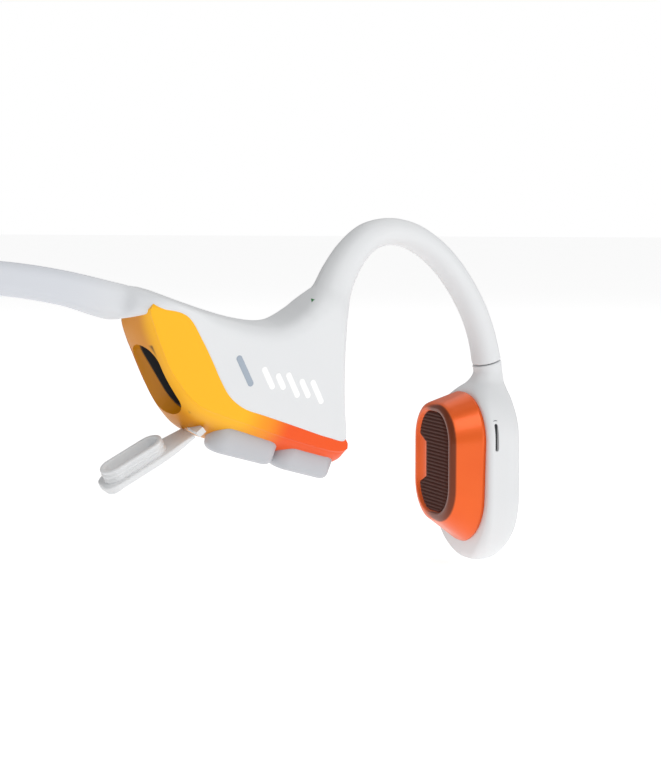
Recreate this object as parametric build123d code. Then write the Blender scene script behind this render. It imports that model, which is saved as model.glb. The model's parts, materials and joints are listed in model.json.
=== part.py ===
"""Bone conduction headphones: neckband, two pods behind the ears, two ear hooks and two drivers.

Frame: +X to the wearer's right, +Y forward, +Z up, millimetres. The origin is at the middle of the
bottom of the whole object. The right side is modelled and most of it is mirrored for the left.

Local frames:
    pod     (u, v, w) = forward along the pod, up its face, outwards from the head
    driver  (u, v, w) = across the pad, up, towards the cheek
"""

import functools
import math
import os

from build123d import *

# ---- Layout of one side ------------------------------------------------------------------------
POD_X = 48.0  # middle of the pod, from the plane of symmetry
POD_Z = 34.0  # middle of the pod, above the lowest point of the drivers
POD_HEADING = 58.0  # degrees from +X to the pod's forward axis
POD_LEAN = 10.0  # degrees that the top of the pod leans outwards
HOOK_HEADING = 66.0  # degrees from +X to the plane of the ear hook
DRIVER_HEADING = 53.0  # degrees: how far the contact pad is turned from inwards to backwards

# ---- Pod -----------------------------------------------------------------------------------------
POD_T = 9.6  # thickness, head side to outer face
WALL = 1.2  # skin and shell wall
CHASSIS_WALL = 0.8
CHASSIS_TRIM = (2.0, 9.5)  # no chassis forwards of and above this (u, v), under the saddle
FIT = 0.1  # clearance between stacked pieces
POD_DRAFT = 16.0  # degrees: the rim narrows towards the outer face
BOTTOM_SLOPE = -16.0  # degrees: the bottom edge falls towards the front
# outline of the rim, (u, v), and the radius at each corner
POD_OUTLINE = [
    (-22.5, 15.6, 0.5),
    (4.0, 9.6, 3.0),
    (9.4, 17.0, 1.0),
    (17.6, 17.0, 1.0),
    (18.4, -6.0, 8.0),
    (19.8, -16.8, 4.0),
    (-9.6, -8.4, 7.0),
    (-21.2, 8.4, 2.0),
]
# boundary between the white skin and the coloured shell, rear to front, (u, v)
PARTING = [
    (-24.5, 15.2),
    (-17.2, 14.1),
    (-12.8, 12.0),
    (-8.9, 5.3),
    (-5.1, -0.8),
    (-1.5, -3.6),
    (8.3, -6.6),
    (24.0, -11.6),
]
PART_GAP = 0.05  # between skin and shell along that boundary

# ---- Ear hook ----------------------------------------------------------------------------------
HOOK_ROOT = (12.0, 14.0)  # pod (u, v) that the hook's own plane passes through
HOOK_RISE = 11.6  # top of the hook's centreline above its root
HOOK_TOP_AT = 16.3  # the same point, forward of the root
# centreline in the hook's plane: (forward, up, half depth in the plane, half width across it)
HOOK_REAR = [
    (3.2, 0.1, 3.5, 3.4),
    (5.1, 4.3, 3.1, 3.0),
    (7.8, 8.0, 2.8, 2.8),
    (11.5, 10.7, 2.5, 2.7),
    (HOOK_TOP_AT, HOOK_RISE, 2.35, 2.6),
]
HOOK_FRONT = [
    (HOOK_TOP_AT, HOOK_RISE, 2.35, 2.6),
    (21.1, 10.9, 2.3, 2.6),
    (25.5, 8.9, 2.25, 2.6),
    (29.7, 5.8, 2.2, 2.6),
    (33.5, 1.7, 2.2, 2.6),
    (36.6, -2.9, 2.2, 2.6),
    (38.7, -7.3, 2.3, 2.6),
    (40.1, -13.4, 2.6, 2.7),
]
HOOK_ROOT_LOW = (13.6, 5.0)  # where the flare of the hook starts inside the pod, (u, v)
HOOK_ROOT_SIZE = (4.6, 3.9)  # its half depth and half width
FLEX_GAP = 0.3  # between two bodies where a sleeve bends
WIRE_R = 0.4  # memory wire
CABLE_R = 0.55  # cable beside the wire
CABLE_ASIDE = 1.15  # centre to centre
BORE_GAP = 0.05  # round the wire and cable in their sleeve
LEAD_START = (14.2, 9.0)  # where the hook's wire is anchored in the pod, (u, v)
LEAD_INTO_NECK = 3.6
LEAD_INTO_POD = 4.0

# ---- Neckband ----------------------------------------------------------------------------------
BAND_BACK_Y = -60.0  # middle of the band, from the middle of the pods
BAND_TOP_Z = 19.1  # middle of the band above the middle of the pods
# (x, y, z from the pod's middle, half height, half thickness), from the pod to the middle
BAND_STATIONS = [
    (38.9, -14.6, 12.9, 3.35, 2.6),
    (36.3, -22.0, 14.6, 3.0, 2.1),
    (33.0, -31.0, 16.9, 2.75, 1.8),
    (28.5, -40.0, 18.5, 2.65, 1.7),
    (22.5, -48.5, 19.1, 2.6, 1.65),
    (13.0, -56.5, 19.1, 2.6, 1.65),
    (FLEX_GAP / 2, BAND_BACK_Y, BAND_TOP_Z, 2.6, 1.65),
]

BAND_LEAD_UP = 0.85  # the wire runs this far above the middle of the sleeve, the cable as far below

# ---- Driver ------------------------------------------------------------------------------------
FACE_W, FACE_H, FACE_R = 15.4, 21.0, 6.0  # flat contact pad
BASE_W, BASE_H, BASE_R = 18.6, 27.0, 8.0  # where the cap meets the shell
CAP_D = 5.5  # pad to shell
CAP_DROP = 1.1  # the cap's base is this much lower than the pad
SHELL_D = 7.8  # shell to the outside of its dome
SHELL_DROP = 2.4  # the shell's outline is this much lower than the pad
SHELL_W, SHELL_H, SHELL_R = 20.2, 32.0, 9.0
SHELL_ROUND, SHELL_LIP = 5.2, 1.6  # radius round the dome, and round the edge beside the cap
SEAL_T = 0.25  # gasket between cap and shell
COLLAR_LOW = (0.6, 8.0, -8.4)  # where the collar round the hook's end fades out, in the driver
COLLAR_SIZE = (4.4, 3.2)
PAD_RIM = 1.1  # cap left round the contact pad
NOTCH_W, NOTCH_H = 3.4, 7.6  # step in the side of the pad
MIC_AT = (5.0, -7.1)  # microphone slot in the shell's side, (v, w)
MIC_L, MIC_W = 4.9, 0.7
MIC_LIP = 0.6  # wall left in front of the screen
MIC_RIM = 0.6  # the screen reaches this far past the slot
NECK_U, NECK_V, NECK_W = 0.6, 16.4, -10.6  # end of the hook from the middle of the pad
DRIVER_WALL = 1.1
GRILLE_T = 0.9
MAGNET_R, MAGNET_T, POLE_T = 3.6, 2.0, 0.9
YOKE_R, YOKE_T, YOKE_WALL = 5.8, 4.2, 0.9
COIL_GAP = 0.3
COIL_FLANGE, COIL_DEEP = 0.8, 2.4  # flange at the cap, and how far the coil reaches into the yoke
SPRING_T = 0.2
SPRING_R = 7.6
SPRING_W = 0.8  # width of each ring of the spring plate
LEDGE_D = 2.0  # ring inside the cap that carries the spring plate
MAGNET_TRAVEL = 0.2

# ---- Controls ----------------------------------------------------------------------------------
KEY_W = 5.4  # across the pod
KEY_LENGTHS = (12.6, 11.4)  # rear, front
KEY_SPLIT = 0.4
KEY_MID = 0.6  # split between the keys, from the middle of the bottom edge
KEY_PROUD = 1.3
KEY_STEM_R = 1.0
KEY_TRAVEL = 0.25
KEY_FLOOR_GAP = 0.3  # left over a key's body when it is pressed
KEY_GAP = 0.25  # round a key in its slot
KEY_CORNER = 2.4
KEY_ALONG = 0.5  # middle of the pair along the bottom edge, as a share of it
KEY_W_AT = 0.4  # the keys sit this far outwards of mid thickness
KEY_SINK = 0.35  # a key's body starts this far below the surface of the shell
KEY_REACH = 6.0  # nothing of a key's body is further than this above the rim's lower line
KEY_SEAL_T = 0.4
STEM_TOP = 3.5
BOARD_LOW = 5.2  # key board, above the same line
KEY_BOARD_L, KEY_BOARD_W, KEY_BOARD_T = 20.0, 3.4, 0.6
MULTI_R = 4.2  # multi-function button
MULTI_TRAVEL = 0.35

# ---- Charging port -----------------------------------------------------------------------------
PORT_W = -0.6  # middle of the recess, outwards of mid thickness
HINGE_UP, PORT_UP = 0.7, 11.9  # flap's hinge and middle of the recess, up the rear wall
PORT_OUT = 0.15  # the plane of the recess's mouth stands this far off the wall
BEZEL_WALL, BEZEL_FLOOR, BEZEL_IN = 0.6, 0.6, 0.3
RECESS_L, RECESS_W, RECESS_D = 12.4, 5.6, 2.6
SOCKET_L, SOCKET_W, SOCKET_D = 8.94, 3.2, 7.3  # receptacle for a small oval plug
SOCKET_WALL = 0.35
TONGUE_T = 0.7
FLAP_OPEN = 208.6  # degrees: direction of the open flap
FLAP_L, FLAP_W, FLAP_T = 17.9, 6.4, 1.2
FLAP_SEAT = 0.12  # clearance under and round the closed flap
FLAP_ROOT = 0.9  # the strap starts this far from its hinge line
ANCHOR_SLOPE, ANCHOR_L, ANCHOR_T, ANCHOR_W = 40.0, 1.4, 1.1, 6.0
ANCHOR_IN = 0.4
PLUG_H = 2.1
PLUG_CLEAR = 0.35  # round the plug in its recess
BOARD_W, BOARD_T = 1.4, 0.8  # main board, outwards of mid thickness
# (u, v, length, width, height) of each part under the board
CHIPS = [
    (3.2, 0.4, 4.2, 4.2, 0.8),
    (-2.4, -0.6, 2.6, 2.2, 0.7),
    (9.0, -1.8, 3.0, 2.4, 0.9),
    (14.0, -3.4, 2.2, 2.2, 1.0),
    (13.6, 0.6, 2.4, 1.6, 0.8),
]
BATTERY_AT, BATTERY_L, BATTERY_H, BATTERY_T = (3.4, -1.8), 19.0, 8.6, 4.2
BATTERY_LOW = -2.4
LINK_AT = (-10.4, 6.6)
BUTTON_PROUD = 0.35
LIGHT_AT = (-2.9, 3.7)
LIGHT_L, LIGHT_W, LIGHT_SLOPE = 6.0, 1.0, 120.0


def rad(degrees):
    return math.radians(degrees)


# ---- Frames --------------------------------------------------------------------------------------
forward = Vector(math.cos(rad(POD_HEADING)), math.sin(rad(POD_HEADING)), 0)
sideways = Vector(math.sin(rad(POD_HEADING)), -math.cos(rad(POD_HEADING)), 0)
outward = sideways * math.cos(rad(POD_LEAN)) - Vector(0, 0, 1) * math.sin(rad(POD_LEAN))
POD = Plane(origin=(POD_X, 0, POD_Z), x_dir=forward, z_dir=outward)

hook_forward = Vector(math.cos(rad(HOOK_HEADING)), math.sin(rad(HOOK_HEADING)), 0)
hook_across = Vector(math.sin(rad(HOOK_HEADING)), -math.cos(rad(HOOK_HEADING)), 0)
HOOK = Plane(origin=POD.from_local_coords(Vector(*HOOK_ROOT, 0)), x_dir=hook_forward, z_dir=hook_across)

pad_across = Vector(math.sin(rad(DRIVER_HEADING)), -math.cos(rad(DRIVER_HEADING)), 0)
pad_normal = Vector(-math.cos(rad(DRIVER_HEADING)), -math.sin(rad(DRIVER_HEADING)), 0)
hook_end = HOOK.from_local_coords(Vector(HOOK_FRONT[-1][0], HOOK_FRONT[-1][1], 0))
pad_middle = hook_end - pad_across * NECK_U - Vector(0, 0, NECK_V) - pad_normal * NECK_W
DRIVER = Plane(origin=pad_middle, x_dir=pad_across, z_dir=pad_normal)


def in_pod(shape):
    """Moves a shape from the pod's frame to the object's."""
    return POD.location * shape


def in_driver(shape):
    """Moves a shape from the driver's frame to the object's."""
    return DRIVER.location * shape


def other_side(shape):
    """The same shape on the wearer's left."""
    return mirror(shape, about=Plane.YZ)


def slab(sketch, low, high, taper=0.0):
    """A sketch in a local frame's own plane, as a solid from low to high along w."""
    return Pos(0, 0, low) * extrude(sketch, amount=high - low, taper=taper)


def rounded_outline(corners, inset=0.0):
    """A closed face from (u, v, corner radius), moved inwards by inset."""
    face = make_face(Polyline([(u, v) for u, v, _ in corners], close=True))
    for u, v, radius in corners:
        corner = face.vertices().sort_by_distance(Vector(u, v, 0))[0]
        face = fillet(corner, radius)
    return offset(face, amount=-inset, kind=Kind.INTERSECTION) if inset else face


def capsule(length, width):
    """A slot shape along u."""
    return SlotOverall(length, width)


def along(u, v, degrees, w=0.0):
    """A place on the pod's face, turned so that its own u runs at that angle."""
    return Location((u, v, w), (0, 0, degrees))


# ---- Pod body ------------------------------------------------------------------------------------
KEEL_TAPER = 42.0  # degrees: the lower edge of the outer face is cut back this much
KEEL_FROM = 0.6  # it starts this far outwards from mid thickness
FAR = 90.0  # further than anything in the pod


def corner_rim(inset):
    """The rear and bottom edges alone, as a face that is open wide at the top and front."""
    front, low, high = (Vector(*POD_OUTLINE[i][:2]) for i in (5, 6, 7))
    rear_far = low + (high - low) * 6
    front_far = low + (front - low) * 4
    points = [rear_far, low, front_far, Vector(FAR, FAR)]
    face = make_face(Polyline([(p.X, p.Y) for p in points], close=True))
    corner = face.vertices().sort_by_distance(low)[0]
    return offset(fillet(corner, POD_OUTLINE[6][2]), amount=-inset, kind=Kind.INTERSECTION)


def bottom_rim(inset):
    """Everything above the bottom edge."""
    front, low = (Vector(*POD_OUTLINE[i][:2]) for i in (5, 6))
    step = (front - low).normalized()
    up = Vector(-step.Y, step.X)
    start = low + up * inset
    points = [start - step * FAR, start + step * FAR, start + step * FAR + up * FAR, start - step * FAR + up * FAR]
    return make_face(Polyline([(p.X, p.Y) for p in points], close=True))


def pod_hull(inset=0.0):
    """The pod's outer shape, or a smaller one that lies inset inside it."""
    half = POD_T / 2 - inset
    block = slab(rounded_outline(POD_OUTLINE, inset), -half, half)
    block &= slab(corner_rim(inset), -half, half, POD_DRAFT)
    keel = slab(bottom_rim(inset), KEEL_FROM, half, KEEL_TAPER) + slab(bottom_rim(inset), -half, KEEL_FROM)
    return block & keel


def below_parting(gap):
    """The side of the parting line that belongs to the coloured shell, moved down by gap."""
    line = [(u, v - gap) for u, v in PARTING]
    face = make_face(Polyline(line + [(line[-1][0], -FAR), (line[0][0], -FAR)], close=True))
    for u, v in line[1:-1]:
        face = fillet(face.vertices().sort_by_distance(Vector(u, v, 0))[0], 1.6)
    return slab(face, -FAR, FAR)


# ---- Hook and band sleeves -----------------------------------------------------------------------
def curve_tangents(points):
    """Direction of travel at each of a list of points."""
    last = len(points) - 1
    return [(points[min(i + 1, last)] - points[max(i - 1, 0)]).normalized() for i in range(last + 1)]


def hook_points(rows):
    """Centreline of the hook in the object's frame."""
    return [HOOK.from_local_coords(Vector(u, v, 0)) for u, v, _, _ in rows]


def hook_sleeve(rows, level_first, level_last):
    """A stretch of the hook's sleeve; a level end is cut square across the hook's top."""
    points = hook_points(rows)
    tangents = curve_tangents(points)
    if level_first:
        tangents[0] = hook_forward
        points[0] = points[0] + hook_forward * FLEX_GAP
    if level_last:
        tangents[-1] = hook_forward
    faces = []
    for point, row, tangent in zip(points, rows, tangents):
        faces.append(Plane(origin=point, x_dir=hook_across, z_dir=tangent) * Ellipse(row[3], row[2]))
    return loft(faces)


def hook_root(grow=0.0):
    """The flare that carries the hook's sleeve down into the pod."""
    u, v = HOOK_ROOT_LOW
    depth, width = HOOK_ROOT_SIZE
    low = in_pod(Pos(u, v - grow, 0) * Rot(90, 0, 0) * Ellipse(depth + grow, width + grow))
    points = hook_points(HOOK_REAR)
    first = HOOK_REAR[0]
    high = Plane(origin=points[0], x_dir=hook_forward, z_dir=curve_tangents(points)[0])
    return loft([low, high * Ellipse(first[2] + grow, first[3] + grow)])


def hook_lead(radius, aside):
    """A wire or cable through the hook, from inside the pod to inside the driver's neck."""
    start = POD.from_local_coords(Vector(*LEAD_START, 0))
    points = [start] + hook_points(HOOK_REAR)[:-1] + hook_points(HOOK_FRONT)[:-1]
    last = hook_points(HOOK_FRONT)[-1] - Vector(0, 0, LEAD_INTO_NECK)
    shift = hook_across * aside
    return sweep_round([p + shift for p in points + [last]], radius)


def sweep_round(points, radius):
    """A round bar along straight runs joined by arcs as large as the runs allow."""
    radii = []
    for before, here, after in zip(points, points[1:], points[2:]):
        turn = rad((here - before).get_angle(after - here))
        shorter = min((here - before).length, (after - here).length)
        radii.append(0.45 * shorter / math.tan(turn / 2))
    path = FilletPolyline(*points, radius=radii)
    start = Plane(origin=path @ 0, z_dir=path % 0)
    return sweep(start * Circle(radius), path=path)


def band_points():
    """Centreline of the right half of the band."""
    return [Vector(x, y, POD_Z + z) for x, y, z, _, _ in BAND_STATIONS]


def band_sleeve(grow=0.0):
    """The right half of the neckband's sleeve, or a larger one to cut its seat with."""
    points = band_points()
    tangents = curve_tangents(points)
    tangents[-1] = Vector(-1, 0, 0)
    faces = []
    for point, row, tangent in zip(points, BAND_STATIONS, tangents):
        flat = Vector(0, 0, 1).cross(tangent).normalized()
        section = Ellipse(row[4] + grow, row[3] + grow)
        faces.append(Plane(origin=point - tangent * grow, x_dir=flat, z_dir=tangent) * section)
    return loft(faces)


def band_lead(radius, above):
    """A wire or cable through the whole band, from pod to pod."""
    right = [p + Vector(0, 0, above) for p in band_points()[:-1]]
    left = [Vector(-p.X, p.Y, p.Z) for p in reversed(right)]
    inner = right[0] + (right[0] - right[1]).normalized() * LEAD_INTO_POD
    outer = Vector(-inner.X, inner.Y, inner.Z)
    middle = [Vector(x, BAND_BACK_Y + 0.3, right[-1].Z) for x in (5.0, -5.0)]
    return sweep_round([inner] + right[1:] + middle + left[:-1] + [outer], radius)


@functools.cache
def band_bores():
    """The holes for the wire and the cable through the band."""
    return band_lead(WIRE_R + BORE_GAP, BAND_LEAD_UP) + band_lead(CABLE_R + BORE_GAP, -BAND_LEAD_UP)


# ---- Charging port -------------------------------------------------------------------------------
def rear_wall(up, depth=0.0):
    """A point on the plane of the rear wall at the middle of the port: up it, and into the pod."""
    low, high = (Vector(*POD_OUTLINE[i][:2]) for i in (6, 7))
    step = (high - low).normalized()
    inward = Vector(step.Y, -step.X)
    drafted = (POD_T / 2 + PORT_W) * math.tan(rad(POD_DRAFT)) - PORT_OUT
    point = low + step * up + inward * (drafted + depth)
    return Vector(point.X, point.Y, PORT_W), step, inward


def port_place(depth=0.0, up=PORT_UP):
    """Frame of the rear wall: x up the wall, y across it, z out of the pod."""
    point, step, inward = rear_wall(up, depth)
    return Plane(origin=point, x_dir=step, z_dir=-inward).location


def port_block(length, width, near, deep, corner=None):
    """A block with rounded ends in the rear wall, from near to deep below its surface."""
    outline = SlotOverall(length, width) if corner is None else RectangleRounded(length, width, corner)
    return port_place(deep) * extrude(outline, amount=deep - near)


def port_bezel():
    """Tray that lines the recess and holds the socket's mouth."""
    tray = port_block(RECESS_L + 2 * BEZEL_WALL, RECESS_W + 2 * BEZEL_WALL, BEZEL_IN, RECESS_D + BEZEL_FLOOR)
    tray -= port_block(RECESS_L, RECESS_W, -1.0, RECESS_D)
    return tray - port_block(SOCKET_L + 2 * FIT, SOCKET_W + 2 * FIT, 0, RECESS_D + 2)


def port_socket():
    """Receptacle: a drawn steel shell with a contact tongue."""
    near, deep = RECESS_D + 0.1, RECESS_D + 0.1 + SOCKET_D
    shell = port_block(SOCKET_L, SOCKET_W, near, deep)
    shell -= port_block(SOCKET_L - 2 * SOCKET_WALL, SOCKET_W - 2 * SOCKET_WALL, near - 1, deep - SOCKET_WALL)
    tongue = port_block(SOCKET_L - 2.6, TONGUE_T, near + 0.8, deep, 0.1)
    return shell + tongue


def flap_hinge():
    """The living hinge, in the pod's frame."""
    return rear_wall(HINGE_UP)[0]


def flap_place():
    """Frame of the open flap: x along it from the hinge, y away from the plug."""
    return Location(tuple(flap_hinge()), (0, 0, FLAP_OPEN))


def flap_shut_angle():
    """How far the flap turns to close, in degrees."""
    step = rear_wall(HINGE_UP)[1]
    return FLAP_OPEN - math.degrees(math.atan2(step.Y, step.X))


def flap_block(start, end, low, high, width, corner):
    """A rounded block on the flap, between two places along it and two heights over it."""
    sketch = Pos((start + end) / 2, 0) * RectangleRounded(end - start, width, corner)
    turned = Plane(origin=(0, high, 0), x_dir=(1, 0, 0), z_dir=(0, -1, 0)).location
    return turned * extrude(sketch, amount=high - low)


def port_flap():
    """Silicone flap: strap, pull tab and a hollow plug."""
    strap = flap_block(FLAP_ROOT, FLAP_L, 0, FLAP_T, FLAP_W, 2.4)
    lip = flap_block(FLAP_L - 1.6, FLAP_L, FLAP_T, FLAP_T + 0.5, FLAP_W - 2.6, 0.7)
    middle = PORT_UP - HINGE_UP
    length, width = RECESS_L - 2 * PLUG_CLEAR, RECESS_W - 2 * PLUG_CLEAR
    plug = flap_block(middle - length / 2, middle + length / 2, -PLUG_H, 0, width, width / 2 - 0.01)
    hollow = flap_block(middle - length / 2 + 1, middle + length / 2 - 1, -PLUG_H - 1, -0.4, width - 2, 1.2)
    return flap_place() * (strap + lip + plug - hollow)


def flap_anchor():
    """Root of the flap, held in a slot in the shell below the recess."""
    point = rear_wall(HINGE_UP, ANCHOR_IN)[0]
    return Location(tuple(point), (0, 0, ANCHOR_SLOPE)) * Box(ANCHOR_L, ANCHOR_T, ANCHOR_W)


# ---- Keys on the bottom edge ---------------------------------------------------------------------
def bottom_place():
    """Frame of the bottom edge: u forwards along it, v up into the pod, w outwards."""
    front, low = (Vector(*POD_OUTLINE[i][:2]) for i in (5, 6))
    middle = low + (front - low) * KEY_ALONG
    return Location((middle.X, middle.Y, KEY_W_AT), (0, 0, BOTTOM_SLOPE))


def key_span(index):
    """Start and end of a key along the bottom edge."""
    if index == 0:
        return KEY_MID - KEY_SPLIT / 2 - KEY_LENGTHS[0], KEY_MID - KEY_SPLIT / 2
    return KEY_MID + KEY_SPLIT / 2, KEY_MID + KEY_SPLIT / 2 + KEY_LENGTHS[1]


def upright(sketch, low, high):
    """A sketch in the bottom edge's (u, w) plane as a solid between two heights."""
    turned = Plane(origin=(0, low, 0), x_dir=(1, 0, 0), z_dir=(0, 1, 0)).location
    return bottom_place() * turned * extrude(sketch, amount=high - low)


def key_sketch(index, grow=0.0):
    """Outline of one key."""
    start, end = key_span(index)
    return Pos((start + end) / 2, 0) * RectangleRounded(
        end - start + 2 * grow, KEY_W + 2 * grow, KEY_CORNER + grow
    )


def key(index):
    """One volume key: a body that follows the bottom edge, and a stem that reaches its switch."""
    start, end = key_span(index)
    body = upright(key_sketch(index), -KEY_PROUD, KEY_REACH) - pod_hull(KEY_SINK)
    stem = Pos((start + end) / 2, 0) * Circle(KEY_STEM_R)
    return body + upright(stem, 0, STEM_TOP)


def key_cuts():
    """The pockets and stem holes that the keys need in the shell."""
    floor = pod_hull(KEY_SINK + KEY_TRAVEL + KEY_FLOOR_GAP)
    cuts = []
    for index in range(2):
        start, end = key_span(index)
        hole = Pos((start + end) / 2, 0) * Circle(KEY_STEM_R + KEY_GAP)
        pocket = upright(key_sketch(index, KEY_GAP), -3, KEY_REACH + KEY_TRAVEL) - floor
        cuts.append(pocket + upright(hole, 0, STEM_TOP + KEY_TRAVEL))
    return cuts[0] + cuts[1]


def key_seal():
    """Silicone sheet inside the shell over both keys, with holes for their stems."""
    start, end = key_span(0)[0], key_span(1)[1]
    sketch = Pos((start + end) / 2, 0) * RectangleRounded(end - start, KEY_W - 1.6, 1.2)
    for index in range(2):
        sketch -= Pos(sum(key_span(index)) / 2, 0) * Circle(KEY_STEM_R + KEY_GAP)
    return upright(sketch, 0, BOARD_LOW - FIT) & (pod_hull(WALL + 0.02) - pod_hull(WALL + KEY_SEAL_T))


def key_board():
    """Narrow board over the keys."""
    start, end = key_span(0)[0], key_span(1)[1]
    sketch = Pos((start + end) / 2 + 1.2, 0) * Rectangle(KEY_BOARD_L, KEY_BOARD_W)
    return upright(sketch, BOARD_LOW, BOARD_LOW + KEY_BOARD_T)


def key_switches():
    """A dome switch over each key's stem, as separate solids."""
    parts = []
    for index in range(2):
        start, end = key_span(index)
        middle = Pos((start + end) / 2, 0)
        low = STEM_TOP + KEY_TRAVEL + 0.1
        body = upright(middle * Rectangle(3.2, 3.0), low + 0.3, BOARD_LOW)
        parts.append(body + upright(middle * Circle(0.8), low, low + 0.3))
    return parts


# ---- Pod pieces ----------------------------------------------------------------------------------
def light_cut(grow=0.0):
    """The light's slot in the skin."""
    return along(*LIGHT_AT, LIGHT_SLOPE, POD_T / 2 - WALL - 1) * extrude(
        capsule(LIGHT_L + 2 * grow, LIGHT_W + 2 * grow), amount=WALL + 2
    )


def light_lens():
    """Light guide: a pill in the skin with a flange behind it."""
    pill = along(*LIGHT_AT, LIGHT_SLOPE, POD_T / 2 - WALL) * extrude(capsule(LIGHT_L, LIGHT_W), amount=WALL)
    flange = capsule(LIGHT_L + 1.2, LIGHT_W + 1.2)
    return pill + along(*LIGHT_AT, LIGHT_SLOPE, POD_T / 2 - WALL - 0.5) * extrude(flange, amount=0.5)


def status_led():
    """Light-emitting diode on the main board, under the light guide."""
    return along(*LIGHT_AT, LIGHT_SLOPE, BOARD_W + BOARD_T) * Box(
        1.6, 0.8, 0.35, align=(Align.CENTER, Align.CENTER, Align.MIN)
    )


def pod_skin(has_light):
    """White skin of the pod, moulded in one with the rear half of the hook's sleeve."""
    skin = in_pod(pod_hull() - pod_hull(WALL) - below_parting(0))
    skin += hook_root() + hook_sleeve(HOOK_REAR, False, True)
    skin -= hook_bores()
    skin = skin - band_sleeve() - band_bores()
    if has_light:
        skin -= in_pod(light_cut(FIT / 2))
    return skin


@functools.cache
def hook_bores():
    """The holes for the wire and the cable through a hook."""
    return hook_lead(WIRE_R + BORE_GAP, CABLE_ASIDE / 2) + hook_lead(CABLE_R + BORE_GAP, -CABLE_ASIDE / 2)


def pod_shell(has_controls):
    """Coloured lower and rear shell of the pod."""
    shell = pod_hull() - pod_hull(WALL)
    shell &= below_parting(PART_GAP)
    if has_controls:
        mouth = port_block(RECESS_L + 2 * BEZEL_WALL, RECESS_W + 2 * BEZEL_WALL, -6, RECESS_D + 1)
        seat_middle = PORT_UP - HINGE_UP - (FLAP_L - FLAP_ROOT) / 2 - FLAP_ROOT
        seat = port_place(FLAP_SEAT, PORT_UP - seat_middle) * extrude(
            Rectangle(FLAP_L - FLAP_ROOT + 1.6, FLAP_W + 2 * FLAP_SEAT + 0.4), amount=6
        )
        shell = shell - mouth - seat - flap_anchor() - key_cuts()
    return in_pod(shell) - band_sleeve(FIT) - band_bores()


def pod_chassis(has_controls):
    """Inner frame of the pod: a tray that lines the head side and the rim."""
    inset = WALL + FIT
    tray = pod_hull(inset) - pod_hull(inset + CHASSIS_WALL)
    tray &= slab(Rectangle(FAR, FAR), -FAR, BOARD_W - FIT / 2)
    if has_controls:
        grown = 2 * (BEZEL_WALL + FIT)
        tray -= port_block(RECESS_L + grown, RECESS_W + grown, -6, RECESS_D + BEZEL_FLOOR + FIT)
        tray -= port_block(SOCKET_L + 2 * FIT, SOCKET_W + 2 * FIT, 0, RECESS_D + SOCKET_D + 0.3)
        tray -= key_room()
        tray -= flap_anchor()
    u, v = CHASSIS_TRIM
    tray -= Pos(u + FAR / 2, v + FAR / 2, 0) * Box(FAR, FAR, FAR)
    tray = in_pod(tray) - hook_root(2 * FIT) - hook_sleeve(HOOK_REAR, False, True) - hook_bores()
    return (tray - band_sleeve(2 * FIT) - band_bores()).solids().sort_by(SortBy.VOLUME)[-1]


def key_room():
    """Space for the key board, its switches and the seal."""
    start, end = key_span(0)[0] - 1, key_span(1)[1] + 1
    sketch = Pos((start + end) / 2, 0) * Rectangle(end - start, KEY_W + 1)
    return upright(sketch, 0, BOARD_LOW + KEY_BOARD_T + 0.3)


def main_board():
    """Printed circuit board behind the outer face, cut round the keys, the port and the hook."""
    board = pod_hull(WALL + CHASSIS_WALL + 2 * FIT) & slab(Rectangle(FAR, FAR), BOARD_W, BOARD_W + BOARD_T)
    board -= upright(Rectangle(FAR, FAR), -20, BOARD_LOW + KEY_BOARD_T + 0.3)
    board -= port_block(RECESS_L + 3, 2 * BOARD_W + 3, -6, RECESS_D + BEZEL_FLOOR + 0.5, 0.5)
    board = in_pod(board) - hook_root(3 * FIT) - hook_sleeve(HOOK_REAR, False, True) - band_sleeve(3 * FIT)
    return (board - hook_bores() - band_bores()).solids().sort_by(SortBy.VOLUME)[-1]


def board_chips():
    """Radio chip, memory, charger and two coils under the main board, as separate solids."""
    chips = []
    for u, v, length, width, height in CHIPS:
        chips.append(Pos(u, v, BOARD_W - height / 2) * Box(length, width, height))
    return in_pod(Compound(children=chips))


def battery():
    """Pouch cell in the left pod."""
    outline = along(*BATTERY_AT, BOTTOM_SLOPE, BATTERY_LOW) * extrude(
        RectangleRounded(BATTERY_L, BATTERY_H, 1.0), amount=BATTERY_T
    )
    return in_pod(outline)


def battery_foam():
    """Foam sheet between the battery and the outer face."""
    low = BATTERY_LOW + BATTERY_T
    sheet = along(*BATTERY_AT, BOTTOM_SLOPE, low) * extrude(
        RectangleRounded(BATTERY_L - 3, BATTERY_H - 2, 1.0), amount=POD_T / 2 - WALL - low - FIT
    )
    return in_pod(sheet)


def link_board():
    """Small board that joins the battery to the band's cable."""
    board = along(*LINK_AT, BOTTOM_SLOPE, BATTERY_LOW + 0.4) * Box(
        6.0, 3.2, 0.8, align=(Align.CENTER, Align.CENTER, Align.MIN)
    )
    return in_pod(board)


# ---- Driver pieces -------------------------------------------------------------------------------
def cap_body(inset, front, back):
    """The tapered cap, or its cavity: inset on all sides between two depths behind the pad."""
    faces = []
    for depth in (front, back):
        share = depth / CAP_D
        width, height, radius = (
            a + (b - a) * share - 2 * inset * k
            for a, b, k in ((FACE_W, BASE_W, 1), (FACE_H, BASE_H, 1), (FACE_R, BASE_R, 0.5))
        )
        faces.append(Pos(0, -CAP_DROP * share, -depth) * RectangleRounded(width, height, radius))
    return loft(faces)


def pad_outline(grow=0.0):
    """Outline of the contact pad, with a step in its inner side."""
    width, height = FACE_W - 2 * PAD_RIM, FACE_H - 2 * PAD_RIM
    outline = RectangleRounded(width + 2 * grow, height + 2 * grow, FACE_R - PAD_RIM + grow)
    return outline - Pos(-width / 2, 0) * RectangleRounded(NOTCH_W - 2 * grow, NOTCH_H - 2 * grow, 1.0)


def contact_pad():
    """Ribbed pad that rests on the cheek."""
    return slab(pad_outline(), -GRILLE_T, 0)


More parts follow.
